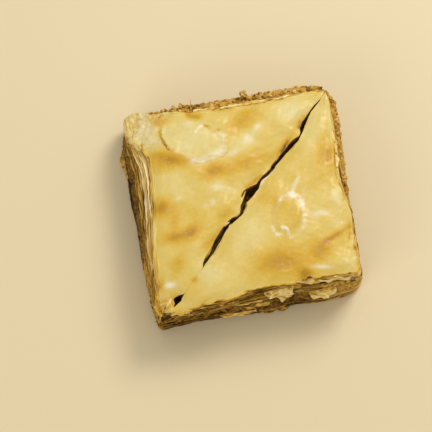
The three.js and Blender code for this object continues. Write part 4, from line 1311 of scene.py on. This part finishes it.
# Heaps of nut bits on the back: middle, reach, how many, tone.
NUT_HEAPS = [
    ((6.5, 37.8, 15.0), 1.5, 34, 0.85), ((-22.9, 36.9, 12.4), 0.8, 9, 0.6),
    ((-16.3, 37.2, 13.4), 1.2, 16, 0.7), ((-18.8, 37.2, 12.6), 1.0, 10, 0.75),
]


def nut_heap(at, reach, count, tone, seed):
    """Bits of nut heaped round a place, closer together near its middle."""
    rng = np.random.default_rng(seed)
    heading = rng.normal(size=(count, 3))
    heading /= np.linalg.norm(heading, axis=1, keepdims=True)
    centres = np.array(at) + heading * reach * rng.uniform(0, 1, (count, 1)) ** 0.7
    return nut_bits(centres, rng.uniform(0.7, 1.5, count), rng.normal(tone, 0.12, count), seed + 1)


# ------------------------------------------------------------------ torn sheets of the sides

# Torn sheets on the sides: half, first and last place on its outline, heights from and to, how far
# it stands out, tone.
# The darkest sheets, on the front towards the front-left corner, are syrup together with painted shade
# of that side.
SIDE_FLAKES = [
    ("front", 77, 99, 19.6, 14.6, 0.5, 0.78), ("front", 86, 98, 16.6, 13.2, 0.7, 0.72),
    ("front", 102, 120, 22.1, 20.2, 0.3, 0.72), ("front", 109, 129, 15.0, 9.6, 1.2, 0.74),
    ("front", 118, 145, 20.6, 19.5, 0.25, 0.70), ("front", 130, 148, 21.8, 21.3, 0.15, 0.70),
    ("front", 54, 78, 17.0, 15.2, 0.35, 0.58), ("front", 44, 70, 6.2, 2.6, 0.5, 0.54),
    ("front", 72, 98, 7.0, 1.2, 0.7, 0.16), ("front", 22, 50, 11.0, 8.6, 0.3, 0.10),
    ("front", 60, 80, 12.6, 10.4, 0.4, 0.42), ("front", 98, 106, 22.0, 19.0, 0.3, 0.34),
    ("front", 30, 58, 20.4, 18.8, 0.25, 0.18), ("front", 4, 20, 14.0, 11.0, 0.3, 0.08),
    ("front", 236, 246, 22.2, 21.3, 0.4, 0.80), ("front", 244, 258, 22.0, 21.0, 0.25, 0.82),
    ("front", 168, 190, 20.6, 18.8, 0.2, 0.56), ("front", 154, 170, 21.6, 19.6, 0.2, 0.66),
    ("back", 26, 47, 21.9, 21.4, 0.2, 0.80), ("back", 46, 80, 21.9, 21.4, 0.2, 0.84),
    ("back", 52, 74, 21.1, 20.6, 0.5, 0.80), ("back", 84, 100, 21.4, 20.9, 0.25, 0.84),
    ("back", 256, 284, 9.0, 6.6, 0.3, 0.34),
]


def scrap(at, size, turn, lean, tone, seed, curl=0.25, thick=0.2, around=48):
    """A torn scrap of filo: rings round its middle with an uneven rim, bowed, leant and turned.

    lean tips it over its long axis, in degrees; curl is how far its rim bends up.
    """
    share = np.arange(around) / around
    rim = 1 + 0.2 * round_noise(share, 7, seed) + 0.1 * round_noise(share, 19, seed + 1)
    scales = np.array([0.3, 0.6, 0.85, 1.0, 1.0, 0.85, 0.6, 0.3])
    faces = np.array([-1, -1, -1, -1, 1, 1, 1, 1])[:, None]
    u = np.outer(scales, size[0] * rim * np.cos(2 * np.pi * share))
    v = np.outer(scales, size[1] * rim * np.sin(2 * np.pi * share))
    bow = curl * (np.outer(scales ** 2, round_noise(share, 5, seed + 2)) + 0.5 * scales[:, None] ** 2)
    w = bow * min(size) + 0.12 * crossing_waves(u, v, 2.2, seed + 3) + faces * thick / 2
    tip, heading = math.radians(lean), math.radians(turn)
    v, w = v * math.cos(tip) - w * math.sin(tip), v * math.sin(tip) + w * math.cos(tip)
    x = at[0] + u * math.cos(heading) - v * math.sin(heading)
    y = at[1] + u * math.sin(heading) + v * math.cos(heading)
    z = np.maximum(at[2] + w, 0.1)
    shade = tone + 0.12 * crossing_waves(u, v, 2.5, seed + 4)
    return closed_solid(np.dstack([x, y, z]), tone=shade, along=u,
                        across=v + own_place(seed, 5.3, 71))


# Loose scraps: middle, half-lengths, turn, lean, tone. The darkest, in the notch at the front-left tip,
# are painted shade of that notch.
SCRAPS = [
    ((-7.2, -10.9, 22.2), (1.1, 0.32), 35, 6, 0.72), ((-6.3, -11.6, 22.0), (0.7, 0.3), 60, 20, 0.66),
    ((-30.9, -34.9, 20.8), (1.8, 0.45), 50, 14, 0.60), ((-31.8, -35.8, 19.9), (1.5, 0.6), 45, 20, 0.50),
    ((-30.2, -36.0, 20.7), (1.2, 0.2), 95, 10, 0.70), ((-31.8, -38.7, 18.0), (1.5, 1.3), 5, 68, -0.1),
    ((-34.2, -36.6, 17.6), (1.5, 1.0), 100, 30, 0.38), ((-35.0, -34.8, 17.6), (1.2, 0.9), 60, 30, 0.42),
    ((-33.0, -34.4, 19.3), (1.3, 0.4), 15, 20, 0.60),
    ((-31.8, -38.2, 14.5), (1.9, 1.2), 0, 70, 0.02), ((-28.6, -38.2, 18.0), (1.8, 0.5), 8, 50, 0.62),
    ((-35.2, -38.0, 13.5), (1.4, 1.2), 45, 65, 0.28), ((-31.0, -38.8, 10.5), (1.9, 1.1), 0, 65, 0.1),
    ((-39.3, 24.2, 1.9), (1.7, 1.4), 80, 10, 0.55), ((-39.2, 21.2, 1.4), (1.2, 1.0), 30, 5, 0.40),
    ((-38.9, 27.0, 2.2), (1.3, 1.1), 60, 12, 0.50), ((-38.7, 18.2, 1.2), (1.0, 0.8), 90, 8, 0.25),
    ((-12.7, 37.0, 16.0), (1.8, 0.25), 85, 75, 0.50), ((-22.6, 36.6, 12.4), (1.2, 0.5), 80, 60, 0.45),
    ((34.4, -26.6, 21.6), (1.0, 0.6), 80, -30, 0.05), ((34.6, -31.2, 20.8), (1.2, 0.6), 80, -40, 0.62),
]


# ------------------------------------------------------------------ materials

# Ramps, as places and display colours: the top from pale to burnt, its dark end also painted shade
# in creases, sheet edges and nuts from dark to pale. The mottle of the top is noise: waves for each
# metre, weight.
GOLD_TONES = [(0.0, (230, 220, 166)), (0.2, (226, 206, 130)), (0.384, (221, 189, 84)),
              (0.6, (213, 168, 38)), (0.8, (186, 134, 16)), (0.92, (172, 118, 14)),
              (1.0, (80, 50, 6))]
GOLD_START = 0.136
BAKE_AND_SHADE_WEIGHT = 0.48
PALE_WEIGHT = 0.24
GOLD_MOTTLE = [(110, 0.24), (300, 0.096), (1000, 0.048)]
# The whitish colour of dry filo and of painted highlights.
DRY_AND_HIGHLIGHT_WHITE = (242, 230, 204)
FILO_TONES = [(0.0, (66, 40, 0)), (0.15, (120, 80, 12)), (0.35, (184, 138, 48)),
              (0.6, (224, 185, 94)), (0.8, (238, 210, 134)), (1.0, (250, 234, 184))]
WALNUT_TONES = [(0.0, (84, 58, 8)), (0.2, (144, 106, 24)), (0.45, (196, 151, 60)),
                (0.75, (216, 177, 88)), (1.0, (230, 205, 130))]
FLOOR_COLOUR = (230, 214, 178)


def new_material(name):
    """An empty node material with its surface shader: (nodes, links, shader, material)."""
    material = bpy.data.materials.new(name)
    material.use_nodes = True
    nodes, links = material.node_tree.nodes, material.node_tree.links
    return nodes, links, nodes["Principled BSDF"], material


def srgb(red, green, blue):
    """A display colour of 0 to 255 as the linear colour that shaders take."""
    share = np.array([red, green, blue]) / 255
    linear = np.where(share <= 0.04045, share / 12.92, ((share + 0.055) / 1.055) ** 2.4)
    return (*linear.tolist(), 1.0)


def ramp(nodes, links, factor, stops):
    """A colour ramp fed by factor; stops are (place, display colour)."""
    node = nodes.new("ShaderNodeValToRGB")
    elements = node.color_ramp.elements
    while len(elements) < len(stops):
        elements.new(0.5)
    for element, (place, colour) in zip(elements, stops):
        element.position, element.color = place, srgb(*colour)
    links.new(factor, node.inputs["Fac"])
    return node.outputs["Color"]


def noise(nodes, links, scale, detail=3.0, rough=0.55, distort=0.0):
    """Noise of 0 to 1 on Object coordinates; scale is in waves for each metre."""
    place = nodes.new("ShaderNodeTexCoord")
    node = nodes.new("ShaderNodeTexNoise")
    node.inputs["Scale"].default_value = scale
    node.inputs["Detail"].default_value = detail
    node.inputs["Roughness"].default_value = rough
    node.inputs["Distortion"].default_value = distort
    links.new(place.outputs["Object"], node.inputs["Vector"])
    return node.outputs["Fac"]


def attribute(nodes, name):
    """The value that the mesh carries under a name, as a number."""
    node = nodes.new("ShaderNodeAttribute")
    node.attribute_name = name
    return node.outputs["Fac"]


def sum_of(nodes, links, *terms):
    """Adds up terms of (socket or number, weight), each one times its weight."""
    total = None
    for value, weight in terms:
        node = nodes.new("ShaderNodeMath")
        node.operation = "MULTIPLY_ADD"
        for place, entry in enumerate((value, weight, total if total is not None else 0.0)):
            if isinstance(entry, (int, float)):
                node.inputs[place].default_value = entry
            else:
                links.new(entry, node.inputs[place])
        total = node.outputs[0]
    return total


def blend(nodes, links, factor, first, second):
    """Mixes a display colour over a colour socket by a factor socket: 0 keeps the first."""
    node = nodes.new("ShaderNodeMix")
    node.data_type = "RGBA"
    node.clamp_factor = True
    links.new(factor, node.inputs["Factor"])
    links.new(first, node.inputs[6])
    node.inputs[7].default_value = srgb(*second)
    return node.outputs[2]


def streaks(nodes, links, rate_along, rate_across, detail=3.0):
    """Noise drawn out along the edge of a sheet: long in its attribute along, fine across."""
    place = nodes.new("ShaderNodeCombineXYZ")
    links.new(sum_of(nodes, links, (attribute(nodes, "along"), rate_along)), place.inputs[0])
    links.new(sum_of(nodes, links, (attribute(nodes, "across"), rate_across)), place.inputs[1])
    node = nodes.new("ShaderNodeTexNoise")
    node.inputs["Scale"].default_value = 1.0
    node.inputs["Detail"].default_value = detail
    links.new(place.outputs[0], node.inputs["Vector"])
    return node.outputs["Fac"]


def risen(nodes, links, value, low, high):
    """0 below low, 1 above high, and an S-curve between."""
    node = nodes.new("ShaderNodeMapRange")
    node.interpolation_type = "SMOOTHSTEP"
    links.new(value, node.inputs["Value"])
    node.inputs["From Min"].default_value = low
    node.inputs["From Max"].default_value = high
    return node.outputs["Result"]


def bump_normal(nodes, links, shader, height, distance, strength):
    """Tilts the shader's normal by the slope of height, a socket of 0 to 1 times a distance."""
    node = nodes.new("ShaderNodeBump")
    node.inputs["Distance"].default_value = distance
    node.inputs["Strength"].default_value = strength
    links.new(height, node.inputs["Height"])
    links.new(node.outputs["Normal"], shader.inputs["Normal"])


def shine(shader, specular, coat, coat_roughness):
    """Sets how much light the surface mirrors, and the weight and roughness of its syrup coat."""
    shader.inputs["Specular IOR Level"].default_value = specular
    shader.inputs["Coat Weight"].default_value = coat
    shader.inputs["Coat Roughness"].default_value = coat_roughness


def golden_filo(name, rough_from, coat):
    """The top sheet: pale gold to amber where baked and where shade is painted, whitish where dry and
    where highlights are painted; coat is its syrup gloss.

    The place on the gold ramp is a start plus bake, minus pale, plus noise of three sizes.
    White is laid over it by the white attribute, broken up by fine noise.
    """
    nodes, links, shader, material = new_material(name)
    factor = sum_of(nodes, links, (GOLD_START, 1.0), (attribute(nodes, "bake"), BAKE_AND_SHADE_WEIGHT),
                    (attribute(nodes, "pale"), -PALE_WEIGHT),
                    *[(noise(nodes, links, scale, 2), weight) for scale, weight in GOLD_MOTTLE])
    gold = ramp(nodes, links, factor, GOLD_TONES)
    white = sum_of(nodes, links, (attribute(nodes, "white"), 0.75),
                   (noise(nodes, links, scale=900, detail=2), 0.5), (0.25, -1.0))
    links.new(blend(nodes, links, white, gold, DRY_AND_HIGHLIGHT_WHITE), shader.inputs["Base Color"])
    rough = sum_of(nodes, links, (rough_from, 1.0),
                   (noise(nodes, links, scale=260, detail=2), 0.2))
    links.new(rough, shader.inputs["Roughness"])
    shine(shader, specular=0.35, coat=coat, coat_roughness=0.24)
    relief = sum_of(nodes, links, (noise(nodes, links, scale=420, rough=0.6, distort=0.6), 1.0),
                    (noise(nodes, links, scale=1500, detail=2), 0.35))
    bump_normal(nodes, links, shader, relief, distance=0.0002, strength=0.5)
    return material


def filo_edges(name, gloss, lined):
    """Filo seen from the side: each sheet has its own tone, a fine grain, and thin dark lines.

    The place on the ramp is the sheet's tone plus noise plus lined times streaks along its edge,
    less the dark lines, which are where finer streaks rise above a middling value.
    """
    nodes, links, shader, material = new_material(name)
    fine = streaks(nodes, links, rate_along=0.1, rate_across=1.7, detail=2.0)
    lines = risen(nodes, links, fine, low=0.53, high=0.61)
    factor = sum_of(nodes, links, (attribute(nodes, "tone"), 1.0),
                    (noise(nodes, links, scale=420), 0.2),
                    (streaks(nodes, links, rate_along=0.12, rate_across=1.1), lined),
                    (0.5 * lined + 0.03, -1.0), (lines, -0.4 * lined))
    links.new(ramp(nodes, links, factor, FILO_TONES), shader.inputs["Base Color"])
    shader.inputs["Roughness"].default_value = 0.5
    shine(shader, specular=0.1, coat=gloss, coat_roughness=0.3)
    grain = noise(nodes, links, scale=1300)
    bump_normal(nodes, links, shader, grain, distance=0.0002, strength=0.7)
    return material


def walnut():
    """Chopped nuts: dark skins, tan and golden flesh, wet with syrup.

    The place on the ramp is each bit's tone plus noise about as large as the bits.
    """
    nodes, links, shader, material = new_material("walnut_in_syrup")
    factor = sum_of(nodes, links, (attribute(nodes, "tone"), 0.9),
                    (noise(nodes, links, scale=650), 0.5), (0.22, -1.0))
    links.new(ramp(nodes, links, factor, WALNUT_TONES), shader.inputs["Base Color"])
    shader.inputs["Roughness"].default_value = 0.5
    shine(shader, specular=0.15, coat=0.06, coat_roughness=0.3)
    grain = noise(nodes, links, scale=1600)
    bump_normal(nodes, links, shader, grain, distance=0.0003, strength=0.8)
    return material


def plain(name, colour, roughness):
    """One display colour of one roughness all over."""
    shader, material = new_material(name)[2:]
    shader.inputs["Base Color"].default_value = srgb(*colour)
    shader.inputs["Roughness"].default_value = roughness
    return material


# ------------------------------------------------------------------ floor, light and camera

FLOOR_REACH = 3.0

# Lights: name, place in metres, width in metres, watts, colour. All aim at the middle of the piece.
LIGHTS = [
    ("key", (0.40, 0.38, 0.56), 0.3, 3.4, (1.0, 0.96, 0.89)),
    ("overhead", (0.10, 0.30, 0.80), 0.7, 1.1, (1.0, 0.97, 0.92)),
    ("fill", (-0.50, -0.45, 0.30), 0.5, 1.75, (1.0, 0.96, 0.88)),
]
LIGHT_AIM = (0, 0, 0.015)
SURROUND = {"colour": (1.0, 0.96, 0.85, 1), "strength": 0.42}


def make_floor():
    """A plain square floor at height zero, that is not part of the piece."""
    mesh = bpy.data.meshes.new("floor")
    near, far = -FLOOR_REACH, FLOOR_REACH
    corners = [(near, near, 0), (far, near, 0), (far, far, 0), (near, far, 0)]
    mesh.from_pydata(corners, [], [(0, 1, 2, 3)])
    mesh.materials.append(plain("pale_floor", FLOOR_COLOUR, roughness=0.7))
    floor = bpy.data.objects.new("floor", mesh)
    bpy.context.scene.collection.objects.link(floor)


def area_light(name, at, size, watts, colour):
    """A square soft light at a place in metres, aimed at the piece."""
    light = bpy.data.lights.new(name, "AREA")
    light.size, light.energy, light.color = size, watts, colour
    lamp = bpy.data.objects.new(name, light)
    lamp.location = at
    lamp.rotation_euler = (Vector(LIGHT_AIM) - Vector(at)).to_track_quat("-Z", "Y").to_euler()
    bpy.context.scene.collection.objects.link(lamp)


def make_light():
    """A key light from behind on the right, a wide one above, a fill and a pale surround."""
    world = bpy.data.worlds.new("surround")
    world.use_nodes = True
    surround = world.node_tree.nodes["Background"]
    surround.inputs["Color"].default_value = SURROUND["colour"]
    surround.inputs["Strength"].default_value = SURROUND["strength"]
    bpy.context.scene.world = world
    for row in LIGHTS:
        area_light(*row)
    bpy.context.scene.view_settings.view_transform = "Standard"


# The camera turns about the piece and looks down at it, in degrees and millimetres.
CAMERA_TURN = -9.0
CAMERA_HEIGHT = 74.0
CAMERA_AWAY = 450.0
FRAME_PIXELS = 432
PIXELS_PER_MM = 2.84
AIM = (0.0, -2.0, 11.5)
AIM_PIXEL = (243.0, 205.0)
SENSOR = 36.0


def make_camera():
    """The camera stands so that AIM falls on AIM_PIXEL of the frame, with no lens shift.

    The lens is the one that shows a millimetre at AIM as PIXELS_PER_MM.
    """
    turn, up = math.radians(CAMERA_TURN), math.radians(CAMERA_HEIGHT)
    back = np.array([math.sin(turn) * math.cos(up), -math.cos(turn) * math.cos(up), math.sin(up)])
    right = np.array([math.cos(turn), math.sin(turn), 0.0])
    above = np.cross(back, right)
    centre = FRAME_PIXELS / 2
    aim = (np.array(AIM) + right * (centre - AIM_PIXEL[0]) / PIXELS_PER_MM
           - above * (centre - AIM_PIXEL[1]) / PIXELS_PER_MM)
    data = bpy.data.cameras.new("camera")
    data.sensor_width = SENSOR
    data.lens = PIXELS_PER_MM * CAMERA_AWAY / FRAME_PIXELS * SENSOR
    camera = bpy.data.objects.new("camera", data)
    camera.location = Vector((aim + back * CAMERA_AWAY) * MM)
    camera.rotation_euler = Vector(-back).to_track_quat("-Z", "Y").to_euler()
    bpy.context.scene.collection.objects.link(camera)
    bpy.context.scene.camera = camera


# ------------------------------------------------------------------ assembly

make_camera()
make_floor()
make_light()

GLAZED = golden_filo("glazed_filo", rough_from=0.42, coat=0.25)
DRY = golden_filo("dry_filo", rough_from=0.6, coat=0.04)
UPPER = filo_edges("crisp_filo_edges", gloss=0.06, lined=1.0)
LOWER = filo_edges("soaked_filo_edges", gloss=0.15, lined=1.0)
TORN = filo_edges("torn_filo", gloss=0.06, lined=0.6)
WALNUT = walnut()

# Edges that turn by more degrees than this are sharp. How many chopped nuts each half has.
FILO_CREASE = 60
NUT_CREASE = 50
CHOPPED_NUTS = 1150

HALVES = {"back": make_half("back", ["backRight", "backLeft", "frontLeft"], ["back", "left"]),
          "front": make_half("front", ["frontLeft", "frontRight", "backRight"], ["front", "right"])}

for name, half in HALVES.items():
    upper, filling, lower = f"{name}_upper_filo", f"{name}_nut_filling", f"{name}_lower_filo"
    add_piece(f"{name}_top_sheet", top_sheet(half), GLAZED, [upper], FILO_CREASE)
    add_piece(f"{name}_upper_sheets", upper_sheets(half), UPPER, [upper])
    add_piece(f"{name}_nut_core", nut_core(half), WALNUT, [filling], NUT_CREASE)
    add_piece(f"{name}_lower_sheets", lower_sheets(half), LOWER, [lower])

chopped = [chopped_nuts(half, CHOPPED_NUTS) for half in HALVES.values()]
add_piece("chopped_nuts", combined(chopped), WALNUT, crease=NUT_CREASE)

stray = [stray_nuts(HALVES[name], *row, SEEDS["stray_nuts"] + 10 * k)
         for k, (name, *row) in enumerate(STRAY_NUTS)]
heaps = [nut_heap(*row, SEEDS["nut_heaps"] + 10 * k) for k, row in enumerate(NUT_HEAPS)]
add_piece("stray_nuts", combined(stray + heaps), WALNUT, crease=NUT_CREASE)

flake = loose_top_flake(HALVES["back"])
add_piece("loose_top_flake", flake, GLAZED, crease=FILO_CREASE)

drapes = [drape(HALVES[name], **values) for name, values in DRAPES]
add_piece("crumpled_corners", combined(drapes), DRY, crease=FILO_CREASE)

flakes = [side_flake(HALVES[name], *row, SEEDS["side_flakes"] + 10 * k)
          for k, (name, *row) in enumerate(SIDE_FLAKES)]
add_piece("side_flakes", combined(flakes), TORN, crease=FILO_CREASE)

scraps = [scrap(*row, SEEDS["scraps"] + 10 * k) for k, row in enumerate(SCRAPS)]
add_piece("loose_scraps", combined(scraps), TORN, crease=FILO_CREASE)
